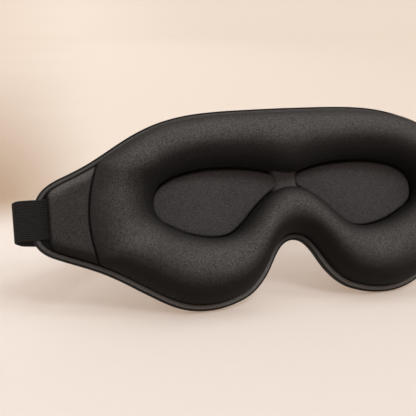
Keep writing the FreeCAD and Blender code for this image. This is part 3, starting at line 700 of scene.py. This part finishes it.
def band(name, segs, step=1.1, bow=None, droop=0.0, thick=STRAP_THICK, wide=STRAP_WIDE, low=STRAP_LOW):
    P, T = sample_path(segs, step)
    if bow is not None:
        P = bow(P)
        T = np.gradient(P, axis=0)
        T /= np.linalg.norm(T, axis=1)[:, None]
    N = np.stack([-T[:, 1], T[:, 0]], 1)
    s = np.concatenate([[0.0], np.cumsum(np.linalg.norm(np.diff(P, axis=0), axis=1))])
    per = 7
    v = np.linspace(0, 1, RIBS * per + 1)
    z = (v - 0.5) * wide
    edge = np.minimum(v, 1 - v) * wide
    body = (thick / 2 - 0.10) * np.sqrt(np.clip(1 - (np.clip(0.55 - edge, 0, 0.55) / 0.55) ** 2, 0, 1))
    ribs = 0.11 * np.abs(np.cos(math.pi * RIBS * v + math.pi / 2)) ** 0.8 * np.clip(edge / 0.5, 0, 1)
    half = body + ribs
    m = len(v)
    verts, uvs = [], []
    for i in range(len(P)):
        wob = 0.035 * math.sin(s[i] * 2 * math.pi / 2.3) * np.sin(math.pi * RIBS * v * 2 + (i % 2) * 0.6)
        zz = low + wide / 2 + z * (1 + 0.004 * math.sin(s[i] * 0.35))
        if droop:
            hang = float(sstep((s[i] - 22.5) / 12.0))
            zz = zz - droop * hang * (1 - float(sstep((s[i] - 62.0) / 72.0)))
        out = P[i][None] + N[i][None] * (half + wob * 0.3)[:, None]
        inn = P[i][None] - N[i][None] * (half + wob * 0.3)[:, None]
        verts.append(np.stack([out[:, 0], out[:, 1], zz], 1))
        verts.append(np.stack([inn[::-1][1:-1, 0], inn[::-1][1:-1, 1], zz[::-1][1:-1]], 1))
        uvs.append(v)
        uvs.append(2 - v[::-1][1:-1] * 1.0)
    row = m + (m - 2)
    V3 = np.vstack(verts)
    uvv = np.concatenate(uvs)
    uvu = np.repeat(s, row)
    faces = []
    for i in range(len(P) - 1):
        a, b = i * row, (i + 1) * row
        for k in range(row):
            k2 = (k + 1) % row
            faces.append((a + k, a + k2, b + k2, b + k))
    faces.append(tuple(range(row - 1, -1, -1)))
    last = (len(P) - 1) * row
    faces.append(tuple(range(last, last + row)))
    ob = make(name, world(V3), faces)
    uvl = ob.data.uv_layers.new(name="strap_uv")
    idx = np.empty(len(ob.data.loops), int)
    ob.data.loops.foreach_get("vertex_index", idx)
    uv = np.stack([uvu[idx] / 18.0, uvv[idx]], 1)
    uvl.data.foreach_set("uv", uv.astype(np.float32).ravel())
    return ob


REAR, PLANE = 86.0, -1.5
BAR_L, BAR_R, SX = 19.0, 29.0, -33.0


def bowed(sign):
    """The run from the fold to the rear corner is not dead straight: it bows a little outwards."""
    def f(P):
        Q = P.copy()
        s = np.concatenate([[0.0], np.cumsum(np.linalg.norm(np.diff(P, axis=0), axis=1))])
        # the fold is over after about 30 mm of path; the corner starts at about 130 mm
        t = np.clip((s - 36.0) / (138.0 - 36.0), 0, 1)
        b = np.sin(math.pi * t) ** 2 * 2.4
        Q[:, 0] += sign * b * 0.8
        Q[:, 1] -= b * 0.55
        return Q
    return f


left_segs = rounded_path([(-102.5, PLANE), (-131.3, PLANE), (-58.0, REAR), (BAR_L + 1.95, REAR), (BAR_L + 1.95, REAR + 3.9), (BAR_L - 3.0, REAR + 3.9)],
                         [1.8, 25.0, 1.95, 1.95])
right_segs = rounded_path([(102.5, PLANE), (131.3, PLANE), (58.0, REAR + 1.3), (BAR_R + 5.0, REAR + 1.3), (BAR_R + 2.0, REAR + 0.15),
                           (BAR_R - 1.8, REAR + 0.15), (BAR_R - 1.8, REAR + 3.75), (BAR_R + 2.0, REAR + 3.75), (BAR_R + 5.0, REAR + 2.6),
                           (BAR_R + 13.0, REAR + 2.6)], [1.8, 25.0, 1.6, 1.6, 1.8, 1.8, 1.6, 1.6])
strap_left = band("strap_left_soft", left_segs, bow=bowed(-1.0), droop=1.8)
strap_right = band("strap_right_soft", right_segs, bow=bowed(1.0), droop=1.8)
strap_return = band("strap_return_soft", rounded_path([(SX + 9.3, REAR + 3.9), (BAR_L - 3.1, REAR + 3.9)], []))
slider_loop = band("slider_loop_soft", rounded_path([
    (SX + 9.0, REAR + 2.6), (SX + 4.6, REAR + 2.6), (SX + 1.8, REAR + 1.6), (SX - 1.7, REAR + 1.6), (SX - 1.7, REAR + 5.0),
    (SX + 1.8, REAR + 5.0), (SX + 4.6, REAR + 3.9), (SX + 9.0, REAR + 3.9)], [1.6, 1.6, 1.7, 1.7, 1.6, 1.6]), step=0.8)


# ---------------------------------------------------------------- ring and slider: moulded plastic
def soft_box(bm, lo, hi, r=0.5, seg=3):
    res = bmesh.ops.create_cube(bm, size=1.0)
    vs = res["verts"]
    for v in vs:
        v.co = Vector([lo[i] + (v.co[i] + 0.5) * (hi[i] - lo[i]) for i in range(3)])
    es = list({e for v in vs for e in v.link_edges})
    bmesh.ops.bevel(bm, geom=es, offset=r, segments=seg, affect="EDGES", profile=0.5)


def fused(name, boxes, voxel):
    bm = bmesh.new()
    for lo, hi, r in boxes:
        soft_box(bm, lo, hi, r)
    me = bpy.data.meshes.new(name)
    bm.to_mesh(me)
    bm.free()
    ob = bpy.data.objects.new(name, me)
    bpy.context.scene.collection.objects.link(ob)
    rm = ob.modifiers.new("fuse", "REMESH")
    rm.mode = "VOXEL"
    rm.voxel_size = voxel
    sm = ob.modifiers.new("soften", "SMOOTH")
    sm.factor = 0.5
    sm.iterations = 6
    dg = bpy.context.evaluated_depsgraph_get()
    done = bpy.data.meshes.new_from_object(ob.evaluated_get(dg))
    ob.modifiers.clear()
    ob.data = done
    co = np.empty(len(done.vertices) * 3)
    done.vertices.foreach_get("co", co)
    done.vertices.foreach_set("co", world(co.reshape(-1, 3)).astype(np.float32).ravel())
    done.polygons.foreach_set("use_smooth", [True] * len(done.polygons))
    done.update()
    return ob


RL, RH = 36.2, 59.8
slider = fused("slider_moulded", [
    ((SX - 7, REAR - 2.1, RL), (SX + 7, REAR + 4.1, RL + 2.2), 0.6),
    ((SX - 7, REAR - 2.1, RH - 2.2), (SX + 7, REAR + 4.1, RH), 0.6),
    ((SX - 6.8, REAR - 2.1, RL + 0.6), (SX - 4.6, REAR - 0.9, RH - 0.6), 0.35),
    ((SX + 4.6, REAR - 2.1, RL + 0.6), (SX + 6.8, REAR - 0.9, RH - 0.6), 0.35),
    ((SX - 0.8, REAR + 2.5, RL + 0.6), (SX + 0.8, REAR + 4.1, RH - 0.6), 0.4)], 0.16)
RM = 24.0
ring = fused("ring_moulded", [
    ((RM - 5.9, REAR + 1.05, RL), (RM + 5.9, REAR + 2.85, RL + 2.0), 0.7),
    ((RM - 5.9, REAR + 1.05, RH - 2.0), (RM + 5.9, REAR + 2.85, RH), 0.7),
    ((RM - 5.9, REAR + 1.05, RL), (RM - 4.1, REAR + 2.85, RH), 0.65),
    ((RM + 4.1, REAR + 1.05, RL), (RM + 5.9, REAR + 2.85, RH), 0.65)], 0.15)


# ---------------------------------------------------------------- stitches: short rounded threads that dive at both ends
def threads(name, lines, y0, r=0.24):
    verts, faces = [], []
    for (x0, z0), (x1, z1) in lines:
        p0, p1 = np.array([x0, z0]), np.array([x1, z1])
        d = p1 - p0
        ln = np.linalg.norm(d)
        d = d / ln
        nrm = np.array([-d[1], d[0]])
        base = len(verts)
        rings, around = 9, 10
        for i in range(rings):
            t = i / (rings - 1)
            rr = r * (math.sin(math.pi * min(1, max(0, t * 0.94 + 0.03))) ** 0.35)
            lift = 0.20 * math.sin(math.pi * t) - 0.10
            for k in range(around):
                f = 2 * math.pi * k / around
                q = p0 + d * ln * t + nrm * rr * math.cos(f)
                verts.append((q[0], y0 + lift + rr * math.sin(f), q[1]))
        for i in range(rings - 1):
            for k in range(around):
                k2 = (k + 1) % around
                faces.append((base + i * around + k, base + i * around + k2, base + (i + 1) * around + k2, base + (i + 1) * around + k))
        faces.append(tuple(base + k for k in range(around - 1, -1, -1)))
        faces.append(tuple(base + (rings - 1) * around + k for k in range(around)))
    return make(name, world(np.array(verts)), faces)


def run_of(x0, z0, x1, z1, count):
    out = []
    for i in range(count):
        a, b = (i + 0.10) / count, (i + 0.90) / count
        out.append(((x0 + (x1 - x0) * a, z0 + (z1 - z0) * a), (x0 + (x1 - x0) * b, z0 + (z1 - z0) * b)))
    return out


ZC = STRAP_LOW + STRAP_WIDE / 2
stitch = {}
for side, s in (("left", -1), ("right", 1)):
    xa, xb, za, zb = 103.5 * s, 113.5 * s, ZC - 7, ZC + 7
    L = run_of(xa, za, xb, za, 5) + run_of(xa, zb, xb, zb, 5) + run_of(xa, za, xa, zb, 7) + run_of(xb, za, xb, zb, 7)
    L += run_of(xa, za, xb, zb, 8) + run_of(xa, zb, xb, za, 8)
    stitch[side] = threads("anchor_stitching_" + side + "_thread", L, 3.28)


def zigzag(x_mid, y_face, name):
    L = []
    n = 17
    for i in range(n):
        z = STRAP_LOW + 1.2 + (STRAP_WIDE - 2.4) * i / (n - 1)
        dz = 0.42 if i % 2 else -0.42
        L.append(((x_mid - 1.3, z - dz), (x_mid + 1.3, z + dz)))
    return threads(name, L, y_face, r=0.22)


ring_stitch = zigzag(BAR_R + 8.2, REAR + 2.6 + 0.66, "ring_stitching_thread")
slider_stitch = zigzag(SX + 6.9, REAR + 3.9 + 0.66, "slider_stitching_thread")


# ---------------------------------------------------------------- materials
def srgb(r, g, b):
    def f(c):
        c = c / 255.0
        return c / 12.92 if c <= 0.04045 else ((c + 0.055) / 1.055) ** 2.4
    return (f(r), f(g), f(b), 1.0)


class Mat:
    def __init__(self, name):
        self.m = bpy.data.materials.new(name)
        self.m.use_nodes = True
        self.nt = self.m.node_tree
        self.nt.nodes.clear()
        self.out = self.nt.nodes.new("ShaderNodeOutputMaterial")
        self.p = self.nt.nodes.new("ShaderNodeBsdfPrincipled")
        self.nt.links.new(self.p.outputs[0], self.out.inputs[0])

    def node(self, kind, **kw):
        n = self.nt.nodes.new(kind)
        for k, v in kw.items():
            setattr(n, k, v)
        return n

    def link(self, a, b):
        self.nt.links.new(a, b)

    def math(self, op, a, b=None, c=None):
        n = self.node("ShaderNodeMath", operation=op)
        for i, v in enumerate((a, b, c)):
            if v is None:
                continue
            if isinstance(v, (int, float)):
                n.inputs[i].default_value = v
            else:
                self.link(v, n.inputs[i])
        return n.outputs[0]

    def noise(self, co, scale, detail=3.0, rough=0.55):
        n = self.node("ShaderNodeTexNoise")
        n.inputs["Scale"].default_value = scale
        n.inputs["Detail"].default_value = detail
        n.inputs["Roughness"].default_value = rough
        self.link(co, n.inputs["Vector"])
        return n.outputs["Fac"]


def fabric(name, dark, light, grain=2100.0, fibre=4200.0, rough=0.68, spec=0.22, sheen=0.02, bump=0.6, depth=0.0005, knit=0.0, painted_shade_ramp=None, crown=(-0.10, -0.72, 0.685)):
    """Brushed microfibre or fine knit: small uneven grain, fibre fuzz, slow mottling, and rows of loops where knit is
    set; painted highlight and painted shade by surface direction where a ramp is given, and painted shade from the
    per-vertex amount.
    """
    M = Mat(name)
    tc = M.node("ShaderNodeTexCoord").outputs["Object"]
    fib = M.noise(tc, fibre, 4.0, 0.7)
    mot = M.noise(tc, grain, 3.0, 0.65)
    mid = M.noise(tc, grain * 0.28, 3.0, 0.6)
    big = M.noise(tc, 42.0, 2.0, 0.5)
    tone = M.math("ADD", M.math("MULTIPLY", mot, 0.66), M.math("ADD", M.math("MULTIPLY", fib, 0.24), M.math("ADD", M.math("MULTIPLY", mid, 0.10), M.math("MULTIPLY", big, 0.06))))
    hgt = M.math("ADD", M.math("MULTIPLY", fib, 0.6), M.math("ADD", M.math("MULTIPLY", mot, 1.0), M.math("MULTIPLY", mid, 0.15)))
    if knit:
        mp = M.node("ShaderNodeMapping")
        mp.inputs["Rotation"].default_value = (LEAN, 0.0, 0.0)
        M.link(tc, mp.inputs["Vector"])
        sep = M.node("ShaderNodeSeparateXYZ")
        M.link(mp.outputs[0], sep.inputs[0])
        wob = M.noise(tc, 160.0, 2.0)
        wx = M.math("MULTIPLY_ADD", wob, 0.0010, sep.outputs[0])
        wz = M.math("MULTIPLY_ADD", wob, 0.0012, sep.outputs[2])
        sx = M.math("SINE", M.math("MULTIPLY", wx, knit * 4.2))
        sz = M.math("SINE", M.math("MULTIPLY_ADD", sx, 0.8, M.math("MULTIPLY", wz, knit * 6.283)))
        loops = M.math("MULTIPLY_ADD", sz, 0.5, 0.5)
        tone = M.math("MULTIPLY_ADD", loops, 0.03, tone)
        hgt = M.math("MULTIPLY_ADD", loops, 0.35, hgt)
    ramp = M.node("ShaderNodeValToRGB")
    ramp.color_ramp.elements[0].position = 0.40
    ramp.color_ramp.elements[0].color = dark
    ramp.color_ramp.elements[1].position = 0.67
    ramp.color_ramp.elements[1].color = light
    M.link(tone, ramp.inputs[0])
    # painted shade: the colour is mixed toward near-black by the per-vertex painted shade amount
    sd = M.node("ShaderNodeAttribute")
    sd.attribute_type = "GEOMETRY"
    sd.attribute_name = "painted_shade_amount"
    painted_shade_mix = M.node("ShaderNodeMix", data_type="RGBA")
    M.link(sd.outputs["Fac"], painted_shade_mix.inputs["Factor"])
    painted_shade_mix.inputs["B"].default_value = (0.0016, 0.0013, 0.0012, 1)
    if painted_shade_ramp:
        # painted highlight and painted shade: the colour is lighter where the surface faces the fixed crown direction
        # and darker where it turns away toward the seams
        ge = M.node("ShaderNodeNewGeometry").outputs["Normal"]
        dt = M.node("ShaderNodeVectorMath", operation="DOT_PRODUCT")
        M.link(ge, dt.inputs[0])
        dt.inputs[1].default_value = crown
        mr = M.node("ShaderNodeValToRGB")
        M.link(dt.outputs["Value"], mr.inputs[0])
        el = mr.color_ramp.elements
        el[0].position, el[0].color = painted_shade_ramp[0][0], (painted_shade_ramp[0][1],) * 3 + (1.0,)
        el[1].position, el[1].color = painted_shade_ramp[-1][0], (painted_shade_ramp[-1][1],) * 3 + (1.0,)
        for at, dim in painted_shade_ramp[1:-1]:
            e = el.new(at)
            e.color = (dim,) * 3 + (1.0,)
        mx = M.node("ShaderNodeMix", data_type="RGBA")
        M.link(mr.outputs[0], mx.inputs["Factor"])
        M.link(ramp.outputs[0], mx.inputs["A"])
        # the near-black colour of the painted shade
        mx.inputs["B"].default_value = (0.0024, 0.0020, 0.0018, 1)
        M.link(mx.outputs["Result"], painted_shade_mix.inputs["A"])
    else:
        M.link(ramp.outputs[0], painted_shade_mix.inputs["A"])
    M.link(painted_shade_mix.outputs["Result"], M.p.inputs["Base Color"])
    M.link(M.math("MULTIPLY_ADD", mot, 0.16, rough - 0.08), M.p.inputs["Roughness"])
    M.p.inputs["Sheen Weight"].default_value = sheen
    M.p.inputs["Sheen Roughness"].default_value = 0.6
    M.p.inputs["Sheen Tint"].default_value = (0.92, 0.9, 0.88, 1)
    M.p.inputs["Specular IOR Level"].default_value = spec
    b = M.node("ShaderNodeBump")
    b.inputs["Strength"].default_value = bump
    b.inputs["Distance"].default_value = depth
    M.link(hgt, b.inputs["Height"])
    M.link(b.outputs[0], M.p.inputs["Normal"])
    return M.m


def elastic_material(name, dark, light):
    """Knitted elastic: lengthwise ribs in the mesh, crosswise filling yarns and fuzz here."""
    M = Mat(name)
    uv = M.node("ShaderNodeUVMap", uv_map="strap_uv")
    sep = M.node("ShaderNodeSeparateXYZ")
    M.link(uv.outputs[0], sep.inputs[0])
    tc = M.node("ShaderNodeTexCoord").outputs["Object"]
    rib = M.math("ABSOLUTE", M.math("SINE", M.math("MULTIPLY", sep.outputs[1], math.pi * RIBS)))
    cross = M.math("SINE", M.math("ADD", M.math("MULTIPLY", sep.outputs[0], 18.0 / 0.62 * 2 * math.pi), M.math("MULTIPLY", rib, 2.4)))
    fib = M.noise(tc, 4200.0, 4.0, 0.7)
    mot = M.noise(tc, 420.0, 3.0, 0.6)
    tone = M.math("ADD", M.math("MULTIPLY", rib, 0.45), M.math("ADD", M.math("MULTIPLY", fib, 0.35), M.math("MULTIPLY_ADD", cross, 0.10, M.math("MULTIPLY", mot, 0.25))))
    ramp = M.node("ShaderNodeValToRGB")
    ramp.color_ramp.elements[0].position = 0.25
    ramp.color_ramp.elements[0].color = dark
    ramp.color_ramp.elements[1].position = 0.95
    ramp.color_ramp.elements[1].color = light
    M.link(tone, ramp.inputs[0])
    M.link(ramp.outputs[0], M.p.inputs["Base Color"])
    M.link(M.math("MULTIPLY_ADD", fib, 0.12, 0.76), M.p.inputs["Roughness"])
    M.p.inputs["Sheen Weight"].default_value = 0.03
    M.p.inputs["Sheen Roughness"].default_value = 0.5
    M.p.inputs["Specular IOR Level"].default_value = 0.15
    b = M.node("ShaderNodeBump")
    b.inputs["Strength"].default_value = 0.8
    b.inputs["Distance"].default_value = 0.00025
    M.link(M.math("ADD", M.math("MULTIPLY", rib, 0.8), M.math("ADD", M.math("MULTIPLY", cross, 0.22), M.math("MULTIPLY", fib, 0.5))), b.inputs["Height"])
    M.link(b.outputs[0], M.p.inputs["Normal"])
    return M.m


def plain_noise(name, dark, light, scale, rough, spec=0.4, bump=0.2, depth=0.0001, fine=None):
    M = Mat(name)
    tc = M.node("ShaderNodeTexCoord").outputs["Object"]
    n1 = M.noise(tc, scale, 4.0, 0.6)
    n2 = M.noise(tc, fine or scale * 6, 3.0, 0.6)
    ramp = M.node("ShaderNodeValToRGB")
    ramp.color_ramp.elements[0].position = 0.3
    ramp.color_ramp.elements[0].color = dark
    ramp.color_ramp.elements[1].position = 0.75
    ramp.color_ramp.elements[1].color = light
    M.link(n1, ramp.inputs[0])
    M.link(ramp.outputs[0], M.p.inputs["Base Color"])
    M.link(M.math("MULTIPLY_ADD", n2, 0.16, rough - 0.08), M.p.inputs["Roughness"])
    M.p.inputs["Specular IOR Level"].default_value = spec
    b = M.node("ShaderNodeBump")
    b.inputs["Strength"].default_value = bump
    b.inputs["Distance"].default_value = depth
    M.link(n2, b.inputs["Height"])
    M.link(b.outputs[0], M.p.inputs["Normal"])
    return M.m


MAT = {
    # the cushion and side panel colours carry a painted highlight along the crown and painted shade where the surface
    # turns away
    "cushion_fabric": fabric("cushion_microfibre", srgb(28, 27, 27), srgb(98, 96, 96), spec=0.09, bump=0.9, painted_shade_ramp=((0.0, 0.985), (0.40, 0.97), (0.64, 0.90), (0.83, 0.62), (0.93, 0.25), (0.975, 0.06), (1.0, 0.0))),
    "pad_fabric": fabric("eye_pad_knit", srgb(34, 32, 33), srgb(76, 74, 75), grain=2100.0, rough=0.85, spec=0.2, knit=1600.0, bump=0.6),
    "panel_fabric": fabric("side_panel_microfibre", srgb(36, 34, 34), srgb(110, 107, 107), rough=0.7, spec=0.10, bump=0.8, painted_shade_ramp=((0.0, 0.97), (0.45, 0.92), (0.70, 0.74), (0.756, 0.67), (0.85, 0.42), (0.93, 0.14), (1.0, 0.0)), crown=(0.05, -0.45, 0.89)),
    "outer_fabric": fabric("outer_microfibre", srgb(18, 17, 16), srgb(42, 40, 38), rough=0.72, spec=0.18),
    "lining_fabric": fabric("lining_knit", srgb(70, 69, 69), srgb(112, 110, 110), grain=1900.0, rough=0.82, spec=0.2, knit=1500.0),
    "elastic": elastic_material("ribbed_elastic", srgb(10, 10, 10), srgb(34, 33, 33)),
    "thread": plain_noise("polyester_thread", srgb(34, 32, 31), srgb(58, 55, 53), 2500.0, 0.55, 0.4, 0.5, 0.0001),
    "foam": plain_noise("open_foam", srgb(62, 60, 58), srgb(86, 83, 80), 900.0, 0.95, 0.1, 0.6, 0.0003),
    "shell_foam": plain_noise("moulded_foam", srgb(48, 46, 45), srgb(64, 61, 60), 700.0, 0.92, 0.1, 0.4, 0.0002),
    "hardware_plastic": plain_noise("moulded_plastic", srgb(20, 20, 20), srgb(30, 30, 30), 500.0, 0.42, 0.5, 0.12, 0.00005, fine=2600.0),
}


def dress(ob, slot_name, body, nodes):
    ob.data.materials.clear()
    ob.data.materials.append(MAT[slot_name])
    if body:
        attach(ob, body)
    if nodes:
        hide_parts(*nodes)


dress(cushion, "cushion_fabric", "mask", ["cushion_cover"])
dress(cushion_core, "foam", "mask", ["cushion_foam"])
dress(lining, "lining_fabric", "mask", ["base_lining"])
dress(outer_cover, "outer_fabric", "mask", ["outer_cover"])
dress(outer_shell, "shell_foam", "mask", ["outer_shell"])
for side in ("left", "right"):
    dress(pads[side][0], "pad_fabric", "mask", ["eye_pad_cover_" + side])
    dress(pads[side][1], "foam", "mask", ["eye_pad_foam_" + side])
    dress(panels[side][0], "panel_fabric", "mask", ["side_panel_cover_" + side])
    dress(panels[side][1], "foam", "mask", ["side_panel_foam_" + side])
    dress(stitch[side], "thread", "mask", ["anchor_stitching_" + side])
dress(strap_return, "elastic", "strap", ["strap_return"])
tuple(world_point(BAR_L - 3.1, REAR + 3.9, ZC))
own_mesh(strap_return)
dress(slider_loop, "elastic", "slider", ["slider_loop"])
dress(slider, "hardware_plastic", "slider", ["slider"])
dress(slider_stitch, "thread", "slider", ["slider_stitching"])
dress(ring, "hardware_plastic", "strap", ["ring"])
dress(ring_stitch, "thread", "strap", ["ring_stitching"])
for ob, s, side in ((strap_left, -1.0, "left"), (strap_right, 1.0, "right")):
    dress(ob, "elastic", None, ["strap_" + side, "strap_anchor_" + side])
    dx, dy = 0.3 * s, 0.954
    # places along the line: 35 mm is still the sewn end, 40.5 mm is past the fold
    p0 = world_point(dx * 35.2 * 1.0, dy * 35.2, ZC)
    p1 = world_point(dx * 40.6 * 1.0, dy * 40.6, ZC)
    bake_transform(ob)

# ---------------------------------------------------------------- floor, backdrop, light, camera
bpy.context.scene.view_settings.view_transform = "Standard"
FM = Mat("stage_paper")
tc = FM.node("ShaderNodeTexCoord").outputs["Object"]
sp = FM.node("ShaderNodeSeparateXYZ")
FM.link(tc, sp.inputs[0])
# painted shadow on the sweep: a soft tone darker low on the left, paler to the right, laid out about one fixed spot on
# the floor
depth_ = FM.math("MAXIMUM", FM.math("ADD", sp.outputs[1], 0.403), 0.05)
side_ = FM.math("DIVIDE", FM.math("ADD", sp.outputs[0], 0.132), depth_)
rise_ = FM.math("DIVIDE", FM.math("SUBTRACT", 0.14, sp.outputs[2]), FM.math("MAXIMUM", depth_, 0.3))
far = FM.node("ShaderNodeMapRange", interpolation_type="SMOOTHSTEP")
FM.link(sp.outputs[1], far.inputs["Value"])
far.inputs["From Min"].default_value = 0.10
far.inputs["From Max"].default_value = 0.20
left = FM.node("ShaderNodeMapRange", interpolation_type="SMOOTHSTEP")
FM.link(FM.math("ADD", side_, FM.math("MULTIPLY", FM.noise(tc, 3.0, 1.0), 0.05)), left.inputs["Value"])
left.inputs["From Min"].default_value = 0.16
left.inputs["From Max"].default_value = 0.0
low = FM.node("ShaderNodeMapRange", interpolation_type="SMOOTHSTEP")
FM.link(rise_, low.inputs["Value"])
low.inputs["From Min"].default_value = 0.06
low.inputs["From Max"].default_value = 0.25
# strength of the painted shadow
dark = FM.math("MULTIPLY", far.outputs[0], FM.math("MULTIPLY", left.outputs[0], FM.math("MULTIPLY_ADD", low.outputs[0], 0.75, 0.25)))
fine = FM.noise(tc, 700.0, 4.0, 0.65)
painted_shadow_mix = FM.node("ShaderNodeMix", data_type="RGBA")
FM.link(dark, painted_shadow_mix.inputs["Factor"])
pale = FM.node("ShaderNodeMix", data_type="RGBA")
FM.link(far.outputs[0], pale.inputs["Factor"])
pale.inputs["A"].default_value = (0.452, 0.460, 0.476, 1)
pale.inputs["B"].default_value = (0.425, 0.420, 0.408, 1)
FM.link(pale.outputs["Result"], painted_shadow_mix.inputs["A"])
# the colour of the painted shadow
painted_shadow_mix.inputs["B"].default_value = (0.266, 0.192, 0.134, 1)
FM.link(painted_shadow_mix.outputs["Result"], FM.p.inputs["Base Color"])
# the sheet glows a little, though it is no lamp: painted light that keeps its shadows pale and warm, weaker inside the
# painted shadow
painted_glow = FM.node("ShaderNodeMix", data_type="RGBA")
FM.link(dark, painted_glow.inputs["Factor"])
painted_glow.inputs["A"].default_value = (0.300, 0.210, 0.150, 1)
painted_glow.inputs["B"].default_value = (0.123, 0.087, 0.060, 1)
FM.link(painted_glow.outputs["Result"], FM.p.inputs["Emission Color"])
FM.p.inputs["Emission Strength"].default_value = 1.0
FM.link(FM.math("MULTIPLY_ADD", fine, 0.2, 0.78), FM.p.inputs["Roughness"])
FM.p.inputs["Specular IOR Level"].default_value = 0.15
bp_ = FM.node("ShaderNodeBump")
bp_.inputs["Strength"].default_value = 0.5
bp_.inputs["Distance"].default_value = 0.0004
FM.link(fine, bp_.inputs["Height"])
FM.link(bp_.outputs[0], FM.p.inputs["Normal"])
prof = [(0.0, 0.0), (0.3, 0.0), (0.6, 0.0), (1.2, 0.0), (2.4, 0.0)]
for i in range(1, 13):
    f = math.radians(90 * i / 12)
    prof.append((2.4 + 0.8 * math.sin(f), 0.8 - 0.8 * math.cos(f)))
prof.append((3.2, 2.2))
bm = bmesh.new()
turns = 64
centre = bm.verts.new((0, 0, 0))
rows = []
for r_, z_ in prof[1:]:
    rows.append([bm.verts.new((r_ * math.cos(2 * math.pi * k / turns), r_ * math.sin(2 * math.pi * k / turns), z_)) for k in range(turns)])
for k in range(turns):
    bm.faces.new((centre, rows[0][k], rows[0][(k + 1) % turns]))
for a_, b_ in zip(rows[:-1], rows[1:]):
    for k in range(turns):
        k2 = (k + 1) % turns
        bm.faces.new((a_[k], b_[k], b_[k2], a_[k2]))
me = bpy.data.meshes.new("stage_sweep")
bm.to_mesh(me)
bm.free()
me.polygons.foreach_set("use_smooth", [True] * len(me.polygons))
stage = bpy.data.objects.new("stage_sweep", me)
me.materials.append(FM.m)
bpy.context.scene.collection.objects.link(stage)

wd = bpy.data.worlds.new("soft_room")
bpy.context.scene.world = wd
wd.use_nodes = True
wd.node_tree.nodes["Background"].inputs[0].default_value = (1.0, 0.93, 0.85, 1.0)
wd.node_tree.nodes["Background"].inputs[1].default_value = 0.88


def sun(name, toward, strength, angle, colour):
    ld = bpy.data.lights.new(name, "SUN")
    ld.energy = strength
    ld.angle = math.radians(angle)
    ld.color = colour
    ob = bpy.data.objects.new(name, ld)
    ob.location = Vector(toward) * 2.0
    ob.rotation_euler = Vector(toward).to_track_quat("Z", "Y").to_euler()
    bpy.context.scene.collection.objects.link(ob)
    return ob


sun("key_softbox", (0.22, -0.74, 1.0), 0.95, 16.0, (1.0, 0.99, 0.985))
sun("side_softbox", (0.74, -0.42, 0.56), 1.65, 11.0, (1.0, 0.98, 0.96))
sun("top_softbox", (-0.02, 0.08, 1.0), 0.55, 50.0, (1.0, 0.97, 0.94))
sun("front_fill", (-0.22, -0.93, 0.30), 0.8, 40.0, (1.0, 0.98, 0.97))

cam_data = bpy.data.cameras.new("camera")
cam = bpy.data.objects.new("camera", cam_data)
bpy.context.scene.collection.objects.link(cam)
fw = Vector((0.2581521, 0.92782431, -0.26925738)).normalized()
rt = Vector((0.963404524, -0.268051716, 0.0)).normalized()
up = rt.cross(fw).normalized()
cam.matrix_world = Matrix((
    (rt.x, up.x, -fw.x, -0.13183251706),
    (rt.y, up.y, -fw.y, (-310.03612513 + SHIFT_BACK) / 1000.0),
    (rt.z, up.z, -fw.z, (139.49554581 + SHIFT_UP) / 1000.0),
    (0, 0, 0, 1)))
cam_data.sensor_width = 36.0
cam_data.lens = 750.0 / 416.0 * 36.0
cam_data.clip_start = 0.01
cam_data.clip_end = 20.0
bpy.context.scene.camera = cam

bpy.context.view_layer.update()
